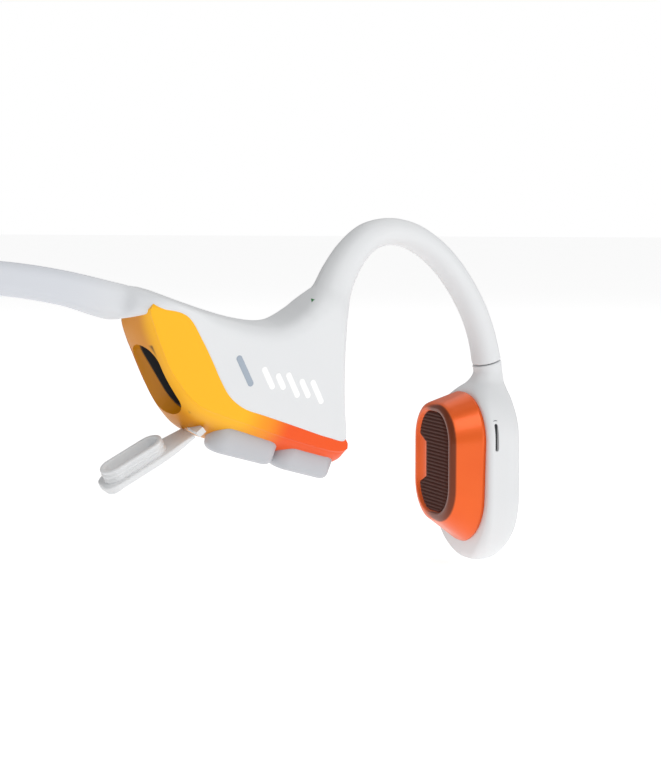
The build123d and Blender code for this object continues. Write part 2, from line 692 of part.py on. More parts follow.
def driver_cap():
    """Tapered cap: seat for the pad in front, a web behind it, and a ledge for the spring plate."""
    web = GRILLE_T + DRIVER_WALL
    cap = cap_body(0, 0, CAP_D) - cap_body(DRIVER_WALL, web, CAP_D)
    cap += slab(Circle(SPRING_R) - Circle(SPRING_R - SPRING_W), -web - LEDGE_D, -web + 0.05) & cap_body(0.4, 0, CAP_D)
    return cap - slab(pad_outline(FIT / 2), -GRILLE_T, 1)


def spring_level():
    """Underside of the cap's ledge, where the spring plate lies."""
    return -(GRILLE_T + DRIVER_WALL + LEDGE_D)


def shell_block(inset, front):
    """The shell's outer shape from a depth behind the pad to its dome, or a smaller one inside it."""
    outline = RectangleRounded(SHELL_W - 2 * inset, SHELL_H - 2 * inset, SHELL_R - inset)
    block = slab(Pos(0, -SHELL_DROP) * outline, -CAP_D - SHELL_D + inset, -front)
    block = fillet(block.edges().group_by(Axis.Z)[0], SHELL_ROUND - inset)
    return fillet(block.edges().group_by(Axis.Z)[-1], SHELL_LIP) if not inset else block


def driver_shell(has_button):
    """White shell behind the cap, with the collar that takes the hook's end."""
    front = CAP_D + SEAL_T
    shell = in_driver(shell_block(0, front))
    u, v, w = COLLAR_LOW
    low = in_driver(Pos(u, v, w) * Rot(90, 0, 0) * Ellipse(*COLLAR_SIZE))
    last = HOOK_FRONT[-1]
    high = Plane(origin=hook_end, x_dir=pad_across, z_dir=(0, 0, -1)) * Ellipse(last[3], last[2])
    shell += loft([high, low])
    shell -= in_driver(shell_block(DRIVER_WALL, front) + slab(mouth_outline(), -front - 2, -front + 1))
    shell = shell - hook_bores() - hook_sleeve(HOOK_FRONT, True, False)
    screen = 2 * (MIC_RIM + FIT)
    shell -= in_driver(mic_block(MIC_L, MIC_W, -1, 4) + mic_block(MIC_L + screen, MIC_W + screen, MIC_LIP, 4))
    if has_button:
        shell -= in_driver(dome_disc(MULTI_R + 0.15, -1, 3))
    return shell


def mouth_outline():
    """Opening of the shell behind the cap."""
    width, height = BASE_W - 2 * DRIVER_WALL, BASE_H - 2 * DRIVER_WALL
    return Pos(0, -CAP_DROP) * RectangleRounded(width, height, BASE_R - DRIVER_WALL)


def cap_gasket():
    """Flat ring between the cap and the shell."""
    outline = Pos(0, -CAP_DROP) * RectangleRounded(BASE_W - 0.4, BASE_H - 0.4, BASE_R - 0.2)
    return slab(outline - mouth_outline(), -CAP_D - SEAL_T, -CAP_D)


def yoke_rim():
    """Level of the yoke's open end."""
    return spring_level() - SPRING_T


def yoke():
    """Soft-iron cup that carries the magnet."""
    rim = yoke_rim()
    cup = slab(Circle(YOKE_R), rim - YOKE_T, rim)
    return cup - slab(Circle(YOKE_R - YOKE_WALL), rim - YOKE_T + YOKE_WALL, rim + 1)


def magnet():
    """Disc magnet on the yoke's floor."""
    low = yoke_rim() - YOKE_T + YOKE_WALL
    return slab(Circle(MAGNET_R), low, low + MAGNET_T)


def pole_plate():
    """Iron plate on the magnet."""
    low = yoke_rim() - YOKE_T + YOKE_WALL + MAGNET_T
    return slab(Circle(MAGNET_R), low, low + POLE_T)


def voice_coil():
    """Coil on its former, hung from the cap's web into the yoke's gap."""
    top = -(GRILLE_T + DRIVER_WALL)
    inner, outer = MAGNET_R + COIL_GAP, YOKE_R - YOKE_WALL - COIL_GAP
    coil = slab(Circle(outer) - Circle(inner), yoke_rim() - COIL_DEEP, top)
    return coil + slab(Circle(outer + 0.8) - Circle(inner), top - COIL_FLANGE, top)


def spring_plate():
    """Thin plate with curved arms between the cap's ledge and the yoke's rim."""
    outer = Circle(SPRING_R) - Circle(SPRING_R - SPRING_W)
    inner = Circle(YOKE_R) - Circle(YOKE_R - SPRING_W)
    plate = outer + inner
    middle = (SPRING_R - SPRING_W + YOKE_R) / 2
    for turn in (30, 150, 270):
        plate += Rot(0, 0, turn) * Pos(middle, 0) * Rectangle(SPRING_R - YOKE_R, SPRING_W)
    return slab(plate, spring_level() - SPRING_T, spring_level())


def mic_block(length, width, near, deep):
    """A block with rounded ends in the shell's side, between two depths below its surface."""
    v, w = MIC_AT
    place = Plane(origin=(SHELL_W / 2 - deep, v, w), x_dir=(0, 1, 0), z_dir=(1, 0, 0)).location
    return place * extrude(capsule(length, width), amount=deep - near)


def mic_mesh():
    """Woven screen behind the microphone slot."""
    return mic_block(MIC_L + 2 * MIC_RIM, MIC_W + 2 * MIC_RIM, MIC_LIP + FIT / 2, MIC_LIP + 0.2)


def microphone():
    """Microphone can on its flexible board, behind the screen."""
    v, w = MIC_AT
    near = MIC_LIP + 0.25
    can = Pos(SHELL_W / 2 - near - 0.5, v, w) * Box(1.0, 3.4, 1.6)
    return can + Pos(SHELL_W / 2 - near - 1.15, v, w) * Box(0.3, 5.4, 1.7)


def dome_disc(radius, near, deep):
    """A disc in the middle of the shell's dome, between two depths below its surface."""
    return Pos(0, -SHELL_DROP) * slab(Circle(radius), -CAP_D - SHELL_D + near, -CAP_D - SHELL_D + deep)


def multi_button():
    """Button in the middle of the left dome, with a flange that keeps it in."""
    return dome_disc(MULTI_R, -BUTTON_PROUD, DRIVER_WALL + 0.5) + dome_disc(
        MULTI_R + 0.7, DRIVER_WALL + FIT / 2, DRIVER_WALL + 0.5
    )


def multi_switch():
    """Dome switch under the button, on a stiffener across the shell."""
    low = DRIVER_WALL + 0.5 + MULTI_TRAVEL + 0.1
    return dome_disc(1.6, low, low + 0.5) + dome_disc(3.6, low + 0.5, low + 0.9)


# ---- Object --------------------------------------------------------------------------------------
def side_nodes(side, has_controls):
    """Pieces that both sides have, built on the right."""
    front_sleeve = hook_sleeve(HOOK_FRONT, True, False) - hook_bores()
    return {
        f"{side}_band_sleeve": band_sleeve() - band_bores(),
        f"{side}_pod_skin": pod_skin(has_controls),
        f"{side}_pod_shell": pod_shell(has_controls),
        f"{side}_pod_chassis": pod_chassis(has_controls),
        f"{side}_hook_sleeve": front_sleeve,
        f"{side}_hook_wire": hook_lead(WIRE_R, CABLE_ASIDE / 2),
        f"{side}_hook_cable": hook_lead(CABLE_R, -CABLE_ASIDE / 2),
        f"{side}_driver_shell": driver_shell(not has_controls),
        f"{side}_driver_cap": in_driver(driver_cap()),
        f"{side}_contact_pad": in_driver(contact_pad()),
        f"{side}_cap_gasket": in_driver(cap_gasket()),
        f"{side}_voice_coil": in_driver(voice_coil()),
        f"{side}_spring_plate": in_driver(spring_plate()),
        f"{side}_magnet": in_driver(magnet()),
        f"{side}_pole_plate": in_driver(pole_plate()),
        f"{side}_yoke": in_driver(yoke()),
        f"{side}_microphone": in_driver(microphone()),
        f"{side}_mic_mesh": in_driver(mic_mesh()),
    }


def controls():
    """Pieces that only the right pod has: light, port, keys and electronics."""
    return {
        "light_lens": in_pod(light_lens()),
        "status_led": in_pod(status_led()),
        "main_board": main_board(),
        "board_chips": board_chips(),
        "port_bezel": in_pod(port_bezel()),
        "usb_socket": in_pod(port_socket()),
        "flap_anchor": in_pod(flap_anchor()),
        "port_flap": in_pod(port_flap()),
        "volume_up_key": in_pod(key(1)),
        "volume_down_key": in_pod(key(0)),
        "key_seal": in_pod(key_seal()),
        "key_board": in_pod(key_board()),
        "key_switches": in_pod(Compound(children=key_switches())),
    }


def left_only():
    """Pieces that only the left side has, built on the right."""
    return {
        "battery": battery(),
        "battery_foam": battery_foam(),
        "link_board": link_board(),
        "multi_button": in_driver(multi_button()),
        "multi_switch": in_driver(multi_switch()),
    }


def build():
    """Every node of the object, with the origin under its middle."""
    nodes = side_nodes("right", True) | controls()
    left = side_nodes("left", False) | left_only()
    nodes |= {name: other_side(shape) for name, shape in left.items()}
    nodes["band_wire"] = band_lead(WIRE_R, BAND_LEAD_UP)
    nodes["band_cable"] = band_lead(CABLE_R, -BAND_LEAD_UP)
    shift = Pos(ground_middle(nodes) * -1)
    return {name: shift * shape for name, shape in nodes.items()}


def ground_middle(nodes):
    """Middle of the bottom of the box round all nodes."""
    boxes = [shape.bounding_box() for shape in nodes.values()]
    low = [min(getattr(box.min, axis) for box in boxes) for axis in "XYZ"]
    high = [max(getattr(box.max, axis) for box in boxes) for axis in "XYZ"]
    return Vector((low[0] + high[0]) / 2, (low[1] + high[1]) / 2, low[2])


def main():
    """Writes one STEP per node."""
    os.makedirs("parts", exist_ok=True)
    for name, shape in build().items():
        export_step(shape, f"parts/{name}.step")


if __name__ == "__main__":
    main()
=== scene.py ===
"""Bone conduction headphones: finished surfaces, materials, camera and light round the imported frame.

Local frames, as in the design:
    pod     (u, v, w) = forwards along the pod, up its face, outwards from the head
    hook    (forwards in the hook's plane, up, across it)
    driver  (u, v, w) = across the contact pad, up, towards the cheek
Sizes in the classes are millimetres in those frames; meshes are in metres in the object's frame.
"""

from __future__ import annotations

import json
import logging
import math
from dataclasses import dataclass, field
from enum import Enum
from typing import Any, Iterable, Sequence

import bmesh
import bpy
import numpy as np
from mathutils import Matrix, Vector
from numpy.typing import NDArray

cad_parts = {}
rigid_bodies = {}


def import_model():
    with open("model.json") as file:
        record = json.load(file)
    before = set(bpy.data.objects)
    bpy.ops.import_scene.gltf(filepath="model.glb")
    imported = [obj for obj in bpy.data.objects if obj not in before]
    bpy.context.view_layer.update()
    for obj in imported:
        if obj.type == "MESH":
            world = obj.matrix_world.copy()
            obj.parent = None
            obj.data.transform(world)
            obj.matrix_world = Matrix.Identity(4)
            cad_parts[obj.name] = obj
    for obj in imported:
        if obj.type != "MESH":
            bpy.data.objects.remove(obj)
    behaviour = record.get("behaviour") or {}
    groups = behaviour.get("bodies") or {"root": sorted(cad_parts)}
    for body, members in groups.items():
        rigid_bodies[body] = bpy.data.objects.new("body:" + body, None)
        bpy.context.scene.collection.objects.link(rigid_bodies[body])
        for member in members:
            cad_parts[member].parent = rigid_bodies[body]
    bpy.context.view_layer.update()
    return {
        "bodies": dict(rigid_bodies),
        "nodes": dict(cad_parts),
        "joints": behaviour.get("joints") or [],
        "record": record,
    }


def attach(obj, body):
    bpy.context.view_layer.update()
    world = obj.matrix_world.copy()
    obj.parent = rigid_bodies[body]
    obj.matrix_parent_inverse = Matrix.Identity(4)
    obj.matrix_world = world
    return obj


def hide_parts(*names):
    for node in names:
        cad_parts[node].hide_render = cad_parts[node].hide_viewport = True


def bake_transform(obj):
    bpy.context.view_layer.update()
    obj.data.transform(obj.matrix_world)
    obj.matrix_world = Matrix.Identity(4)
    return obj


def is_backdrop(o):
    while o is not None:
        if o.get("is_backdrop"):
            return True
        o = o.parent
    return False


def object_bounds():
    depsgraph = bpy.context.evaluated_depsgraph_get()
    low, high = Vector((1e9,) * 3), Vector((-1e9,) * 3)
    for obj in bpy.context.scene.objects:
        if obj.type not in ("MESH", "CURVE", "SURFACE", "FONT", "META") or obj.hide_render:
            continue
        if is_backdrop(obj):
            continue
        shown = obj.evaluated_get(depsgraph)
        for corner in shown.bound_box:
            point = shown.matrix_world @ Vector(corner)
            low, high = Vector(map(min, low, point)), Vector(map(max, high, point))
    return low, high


Array = NDArray[np.float64]
MM = 0.001
LOG = logging.getLogger("headphones")


class Side(Enum):
    """The wearer's two sides; the value is the sign of X."""

    RIGHT = 1
    LEFT = -1

    @property
    def word(self) -> str:
        """Prefix of this side's nodes."""
        return self.name.lower()


# ---- Places ------------------------------------------------------------------------------------------
@dataclass(frozen=True)
class Place:
    """A local frame: an origin in metres and three unit axes as rows."""

    origin: Array
    axes: Array

    def out(self, points: Array) -> Array:
        """Moves local millimetres to the object's frame.

        Args:
            points: Array whose last axis holds (u, v, w) in millimetres.

        Returns:
            The same array in metres in the object's frame.
        """
        return self.origin + (np.asarray(points, float) * MM) @ self.axes

    def turned(self, points: Array) -> Array:
        """Turns local directions to the object's frame without moving them."""
        return np.asarray(points, float) @ self.axes


def unit(vector: Sequence[float]) -> Array:
    """A vector of length one."""
    array = np.asarray(vector, float)
    return array / np.linalg.norm(array)


@dataclass(frozen=True)
class Layout:
    """Where the pod, the hook and the driver of the right side are, worked out from the frame."""

    pod: Place
    hook: Place
    driver: Place
    port: Place
    flex_point: Array

    @classmethod
    def read(cls, frame: dict[str, Any]) -> "Layout":
        """Works the local frames out from the joints and mounts.


        Returns:
            The layout of the right side.
        """
        joints = {joint["name"]: joint for joint in frame["joints"]}
        mounts = {mount["name"]: mount for mount in frame["record"]["mounts"]}
        up = np.array([0.0, 0.0, 1.0])
        outward = -unit(joints["port_flap_hinge"]["axis"])
        forward = unit(np.cross(up, outward))
        face_up = np.cross(outward, forward)
        along = unit(joints["right_hook_flex"]["axis"])
        flex = np.array(joints["right_hook_flex"]["pos_m"], float)
        hook_origin = flex - (along * HookLine.top_at + up * HookLine.rise) * MM
        pod_origin = hook_origin - (forward * HookLine.root[0] + face_up * HookLine.root[1]) * MM
        pad = mounts["right_contact_pad_face"]
        cheek = unit(pad["axis"])
        mouth = mounts["charging_port"]
        off_wall = unit(mouth["axis"])
        return cls(
            pod=Place(pod_origin, np.array([forward, face_up, outward])),
            hook=Place(hook_origin, np.array([along, up, np.cross(along, up)])),
            driver=Place(np.array(pad["pos_m"], float), np.array([np.cross(up, cheek), up, cheek])),
            port=Place(
                np.array(mouth["pos_m"], float),
                np.array([np.cross(off_wall, outward), outward, off_wall]),
            ),
            flex_point=flex,
        )


# ---- Curves and grids --------------------------------------------------------------------------------
def smooth_rows(rows: Array, knots: Array, steps: int) -> Array:
    """Cubic Hermite curve through rows of numbers, with slopes from the neighbours on each side.

    Args:
        rows: One row per station.
        knots: Increasing parameter of each station.
        steps: Samples per interval.

    Returns:
        Rows at every sample, the stations included.
    """
    slopes = np.gradient(rows, knots, axis=0, edge_order=1)
    gap = np.diff(knots)[:, None, None]
    t = (np.arange(steps) / steps)[None, :, None]
    a, b = rows[:-1, None, :], rows[1:, None, :]
    m, n = slopes[:-1, None, :] * gap, slopes[1:, None, :] * gap
    curve = (
        (2 * t**3 - 3 * t**2 + 1) * a
        + (t**3 - 2 * t**2 + t) * m
        + (3 * t**2 - 2 * t**3) * b
        + (t**3 - t**2) * n
    )
    return np.concatenate([curve.reshape(-1, rows.shape[1]), rows[-1:]])


def spaced(points: Array, power: float = 0.5) -> Array:
    """Knots that grow with the distance between points to a power, so that curves don't overshoot."""
    steps = np.linalg.norm(np.diff(points, axis=0), axis=1) ** power
    return np.concatenate([[0.0], np.cumsum(np.maximum(steps, 1e-4))])


def grid_faces(rows: int, columns: int, closed: bool) -> list[tuple[int, ...]]:
    """Quads of a grid of points, with the columns closed into rings if asked."""
    across = columns if closed else columns - 1
    r, c = np.meshgrid(np.arange(rows - 1), np.arange(across), indexing="ij")
    nxt = (c + 1) % columns
    quads = np.stack([r * columns + c, r * columns + nxt, (r + 1) * columns + nxt, (r + 1) * columns + c], -1)
    return [tuple(q) for q in quads.reshape(-1, 4).tolist()]


def ring_solid(rings: Array) -> tuple[Array, list[tuple[int, ...]]]:
    """A closed solid from a stack of rings: quads between them and a fan at each end.

    Args:
        rings: Points as (ring, place on the ring, 3).

    Returns:
        The vertices and the faces.
    """
    count, around = rings.shape[:2]
    points = rings.reshape(-1, 3)
    faces = grid_faces(count, around, True)
    first, last = len(points), len(points) + 1
    points = np.concatenate([points, rings[:1].mean(1), rings[-1:].mean(1)])
    base = (count - 1) * around
    for i in range(around):
        j = (i + 1) % around
        faces.append((first, j, i))
        faces.append((last, base + i, base + j))
    return points, faces


def make_piece(name: str, points: Array, faces: list[tuple[int, ...]], side: Side = Side.RIGHT) -> bpy.types.Object:
    """Puts points and faces into a smooth-shaded object at the origin, facing outwards.

    Args:
        name: Name of the object.
        points: Vertices in metres, for the right side.
        faces: Indices of each face.
        side: The left side is the mirror image of the right.

    Returns:
        The object.
    """
    placed = np.array(points, float)
    placed[:, 0] *= side.value
    mesh = bpy.data.meshes.new(name)
    mesh.from_pydata(placed.tolist(), [], faces)
    work = bmesh.new()
    work.from_mesh(mesh)
    bmesh.ops.remove_doubles(work, verts=work.verts, dist=1e-6)
    bmesh.ops.recalc_face_normals(work, faces=work.faces)
    work.to_mesh(mesh)
    work.free()
    mesh.shade_smooth()
    piece = bpy.data.objects.new(name, mesh)
    bpy.context.scene.collection.objects.link(piece)
    LOG.info("%s: %d vertices", name, len(mesh.vertices))
    return piece


def rounded_rectangle(width: float, height: float, radius: float, corner: int = 12, straight: int = 10) -> Array:
    """Outline of a rectangle with quarter-circle corners, with the same number of points for any size.

    Args:
        width: Size along the first axis.
        height: Size along the second axis.
        radius: Corner radius.
        corner: Samples on each corner.
        straight: Samples on each side.

    Returns:
        Points as (count, 2), counter-clockwise from the middle of the right side.
    """
    radius = min(radius, width / 2 - 1e-4, height / 2 - 1e-4)
    centres = np.array([[1, 1], [-1, 1], [-1, -1], [1, -1]]) * [width / 2 - radius, height / 2 - radius]
    angles = np.linspace(0, math.pi / 2, corner)
    arcs = [
        centre + radius * np.stack([np.cos(angles + k * math.pi / 2), np.sin(angles + k * math.pi / 2)], -1)
        for k, centre in enumerate(centres)
    ]
    share = (np.arange(1, straight + 1) / (straight + 1))[:, None]
    runs = [arcs[k][-1] + (arcs[(k + 1) % 4][0] - arcs[k][-1]) * share for k in range(4)]
    return np.concatenate([np.concatenate([arc, run]) for arc, run in zip(arcs, runs)])


def layered(outlines: Iterable[tuple[Array, float]]) -> Array:
    """Stacks flat outlines at their depths into rings of local points."""
    return np.stack([np.column_stack([outline, np.full(len(outline), w)]) for outline, w in outlines])


# ---- White skin --------------------------------------------------------------------------------------
@dataclass
class Stations:
    """Cross-sections along a skin: two edges, a thickness direction and sizes at each station."""

    upper: Array
    lower: Array
    normal: Array
    half: Array
    round_upper: Array
    round_lower: Array
    steps: int = 7

    def sampled(self) -> "Stations":
        """The same sections, with smooth ones between them.

        Returns:
            Stations at every sample.
        """
        sizes = np.column_stack([self.half, self.round_upper, self.round_lower])
        rows = np.hstack([self.upper, self.lower, self.normal, sizes])
        knots = spaced(np.hstack([self.upper, self.lower]) / MM)
        fine = smooth_rows(rows, knots, self.steps)
        normal = fine[:, 6:9] / np.linalg.norm(fine[:, 6:9], axis=1, keepdims=True)
        return Stations(fine[:, 0:3], fine[:, 3:6], normal, fine[:, 9], fine[:, 10], fine[:, 11])

    def part(self, start: int, stop: int) -> "Stations":
        """The stations from start up to stop."""
        pick = slice(start, stop)
        return Stations(
            self.upper[pick], self.lower[pick], self.normal[pick],
            self.half[pick], self.round_upper[pick], self.round_lower[pick],
        )

    def joined(self, other: "Stations") -> "Stations":
        """These stations followed by another list."""
        both = [(getattr(self, key), getattr(other, key)) for key in Stations.__dataclass_fields__ if key != "steps"]
        return Stations(*(np.concatenate(pair) for pair in both))

    def rings(self, corner: int = 7, face: int = 12) -> Array:
        """A rounded box at each station.

        Half of a ring runs from the middle of the lower end, round a quarter circle, along the face, round
        another quarter circle to the middle of the upper end; the other half is its reflection.

        Args:
            corner: Samples on each quarter circle.
            face: Samples on each face.

        Returns:
            Points as (station, place on the ring, 3), in metres.
        """
        chord = self.upper - self.lower
        length = np.linalg.norm(chord, axis=1) / MM
        along = chord / (length[:, None] * MM)
        across = self.normal - along * np.sum(self.normal * along, axis=1, keepdims=True)
        across /= np.linalg.norm(across, axis=1, keepdims=True)
        limit = np.minimum(self.half, length / 2) * 0.999
        low, high = np.minimum(self.round_lower, limit)[:, None], np.minimum(self.round_upper, limit)[:, None]
        half, span = self.half[:, None], length[:, None]
        angle = np.linspace(0, math.pi / 2, corner)[None, :]
        share = np.linspace(0, 1, face + 2)[None, 1:-1]
        first = np.stack([low - low * np.cos(angle), half - low + low * np.sin(angle)], -1)
        final = np.stack([span - high + high * np.sin(angle), half - high + high * np.cos(angle)], -1)
        flat = np.stack([low + (span - high - low) * share, half + 0 * share], -1)
        side = np.concatenate([first, flat, final], axis=1)
        ring = np.concatenate([side, side[:, ::-1] * [1.0, -1.0]], axis=1)
        spread = along[:, None] * ring[..., :1] + across[:, None] * ring[..., 1:]
        return self.lower[:, None] + spread * MM


@dataclass
class HookLine:
    """Centreline of the ear hook, as (forwards, up, half depth, half width) in its own plane."""

    root = (12.0, 14.0)
    top_at = 16.3
    rise = 11.6
    rear: Sequence[tuple[float, ...]] = (
        (3.6, 1.2, 3.4, 3.35),
        (5.3, 4.4, 3.05, 3.0),
        (8.0, 7.9, 2.7, 2.8),
        (11.6, 10.6, 2.45, 2.7),
        (16.3, 11.6, 2.35, 2.6),
    )
    front: Sequence[tuple[float, ...]] = (
        (21.1, 10.9, 2.3, 2.6),
        (25.5, 8.9, 2.25, 2.6),
        (29.7, 5.8, 2.2, 2.6),
        (33.5, 1.7, 2.2, 2.6),
        (36.6, -2.9, 2.25, 2.6),
        (38.6, -7.3, 2.35, 2.6),
        (39.9, -12.0, 2.6, 2.65),
    )

    def stations(self, place: Place) -> Stations:
        """Sections square to the centreline.

        Args:
            place: The hook's plane.

        Returns:
            Stations from the pod to the driver, with the outside of the arch as the upper edge.
        """
        rows = np.array([*self.rear, *self.front])
        middle = rows[:, :2]
        travel = np.gradient(middle, spaced(middle, 1.0), axis=0)
        travel /= np.linalg.norm(travel, axis=1, keepdims=True)
        square = np.column_stack([-travel[:, 1], travel[:, 0]]) * rows[:, 2:3]
        flat = np.zeros(len(rows))
        upper, lower = middle + square, middle - square
        radius = np.minimum(rows[:, 2], rows[:, 3]) * 0.97
        return Stations(
            place.out(np.column_stack([upper, flat])), place.out(np.column_stack([lower, flat])),
            np.repeat(place.axes[2:3], len(rows), axis=0), rows[:, 3], radius, radius,
        )


@dataclass
class PodSkin:
    """White skin of the pod: sections fan round the saddle between the band and the hook."""

    half: float = 4.8
    saddle_round: float = 2.6
    lip: float = 0.3
    front_round: float = 2.2
    # (u, v) of the top edge, (u, v) of the lower edge, half thickness, rounding above and below
    rows: Sequence[tuple[float, ...]] = (
        (-21.4, 17.0, -23.3, 12.3, 3.2, 2.6, 2.4),
        (-18.6, 16.15, -19.6, 13.6, 4.55, 2.4, 1.2),
        (-16.4, 15.45, -17.2, 14.1, 4.8, 0.9, 0.3),
        (-12.0, 13.9, -13.9, 12.9, 4.8, 0.9, 0.3),
        (-7.4, 12.45, -11.1, 9.0, 4.8, 2.2, 0.3),
        (-3.4, 11.35, -8.9, 5.3, 4.8, 2.6, 0.3),
        (-0.4, 10.75, -7.2, 2.2, 4.8, 2.6, 0.3),
        (1.4, 10.5, -5.2, -0.7, 4.8, 2.6, 0.3),
        (2.8, 10.45, -2.4, -2.8, 4.8, 2.6, 0.3),
        (3.8, 10.55, 1.8, -4.3, 4.8, 2.6, 0.3),
        (4.7, 10.8, 8.3, -6.6, 4.8, 2.6, 0.3),
        (5.6, 11.15, 14.6, -8.8, 4.8, 2.6, 0.35),
        (6.5, 11.6, 17.9, -9.6, 4.8, 2.6, 0.8),
        (7.4, 12.15, 17.6, -4.6, 4.8, 2.6, 1.6),
        (8.4, 12.85, 17.3, 0.2, 4.75, 2.7, 2.2),
        (9.45, 13.75, 17.2, 4.6, 4.7, 2.8, 2.6),
        (10.5, 14.75, 17.4, 8.3, 4.4, 3.0, 2.9),
        (11.55, 15.75, 17.8, 11.2, 3.9, 3.1, 3.1),
    )

    def stations(self, place: Place) -> Stations:
        """The pod's stations in the object's frame."""
        rows = np.array(self.rows)
        flat = np.zeros(len(rows))
        return Stations(
            place.out(np.column_stack([rows[:, 0:2], flat])), place.out(np.column_stack([rows[:, 2:4], flat])),
            np.repeat(place.axes[2:3], len(rows), axis=0), rows[:, 4], rows[:, 5], rows[:, 6],
        )


@dataclass
class BandLine:
    """Neckband, as (x, y and z from the pod's middle, half height, half thickness)."""

    rows: Sequence[tuple[float, ...]] = (
        (-13.0, -56.5, 19.1, 2.6, 1.65),
        (0.0, -59.9, 19.1, 2.6, 1.65),
        (13.0, -56.5, 19.1, 2.6, 1.65),
        (22.5, -48.5, 19.1, 2.6, 1.65),
        (28.5, -40.0, 18.5, 2.65, 1.7),
        (33.0, -31.0, 16.9, 2.75, 1.8),
        (36.3, -22.0, 14.6, 3.0, 2.2),
    )

    def stations(self, pod_middle: Array) -> Stations:
        """Upright sections square to the band.

        Args:
            pod_middle: Origin of the pod's frame, in metres.

        Returns:
            Stations from just past the middle of the band to the pod.
        """
        rows = np.array(self.rows)
        middle = rows[:, :3] * MM + [0.0, pod_middle[1], pod_middle[2]]
        travel = np.gradient(middle, spaced(middle / MM, 1.0), axis=0)
        level = np.cross(travel, [0.0, 0.0, 1.0])
        level /= np.linalg.norm(level, axis=1, keepdims=True)
        rise = np.cross(level, travel)
        rise /= np.linalg.norm(rise, axis=1, keepdims=True)
        reach = rise * rows[:, 3:4] * MM
        radius = np.minimum(rows[:, 3], rows[:, 4]) * 0.95
        return Stations(middle + reach, middle - reach, level, rows[:, 4], radius, radius)


@dataclass
class DriverShell:
    """White shell of the driver: level sections that grow out of the neck and close below."""

    # (v, w of the back, w of the front, half width, u of the middle, rounding at the back, at the front)
    rows: Sequence[tuple[float, ...]] = (
        (15.6, -13.25, -8.1, 2.75, 0.6, 2.4, 2.4),
        (14.2, -13.3, -7.3, 3.5, 0.6, 2.9, 2.6),
        (13.0, -13.3, -6.3, 4.9, 0.5, 3.3, 2.4),
        (11.6, -13.3, -5.75, 6.6, 0.4, 3.6, 1.8),
        (9.4, -13.3, -5.6, 8.7, 0.0, 4.0, 1.3),
        (6.4, -13.3, -5.6, 9.95, 0.0, 4.4, 1.0),
        (2.0, -13.35, -5.6, 10.2, 0.0, 4.8, 0.9),
        (-3.0, -13.4, -5.6, 10.2, 0.0, 5.0, 0.9),
        (-8.0, -13.4, -5.6, 10.1, -0.1, 5.0, 1.0),
        (-12.0, -13.25, -5.65, 9.2, -0.4, 4.8, 1.3),
        (-15.0, -12.8, -5.9, 7.3, -0.7, 4.4, 1.8),
        (-17.0, -12.1, -6.5, 5.0, -0.9, 3.6, 2.0),
        (-18.1, -11.2, -7.4, 2.8, -1.0, 2.4, 1.6),
        (-18.4, -10.2, -8.4, 1.0, -1.0, 0.8, 0.8),
    )

    def stations(self, place: Place) -> Stations:
        """The shell's stations in the object's frame, from the neck down."""
        v, back, front, half, mid, round_back, round_front = np.array(self.rows).T
        return Stations(
            place.out(np.column_stack([mid, v, back])), place.out(np.column_stack([mid, v, front])),
            np.repeat(place.axes[0:1], len(v), axis=0), half, round_back, round_front,
        )


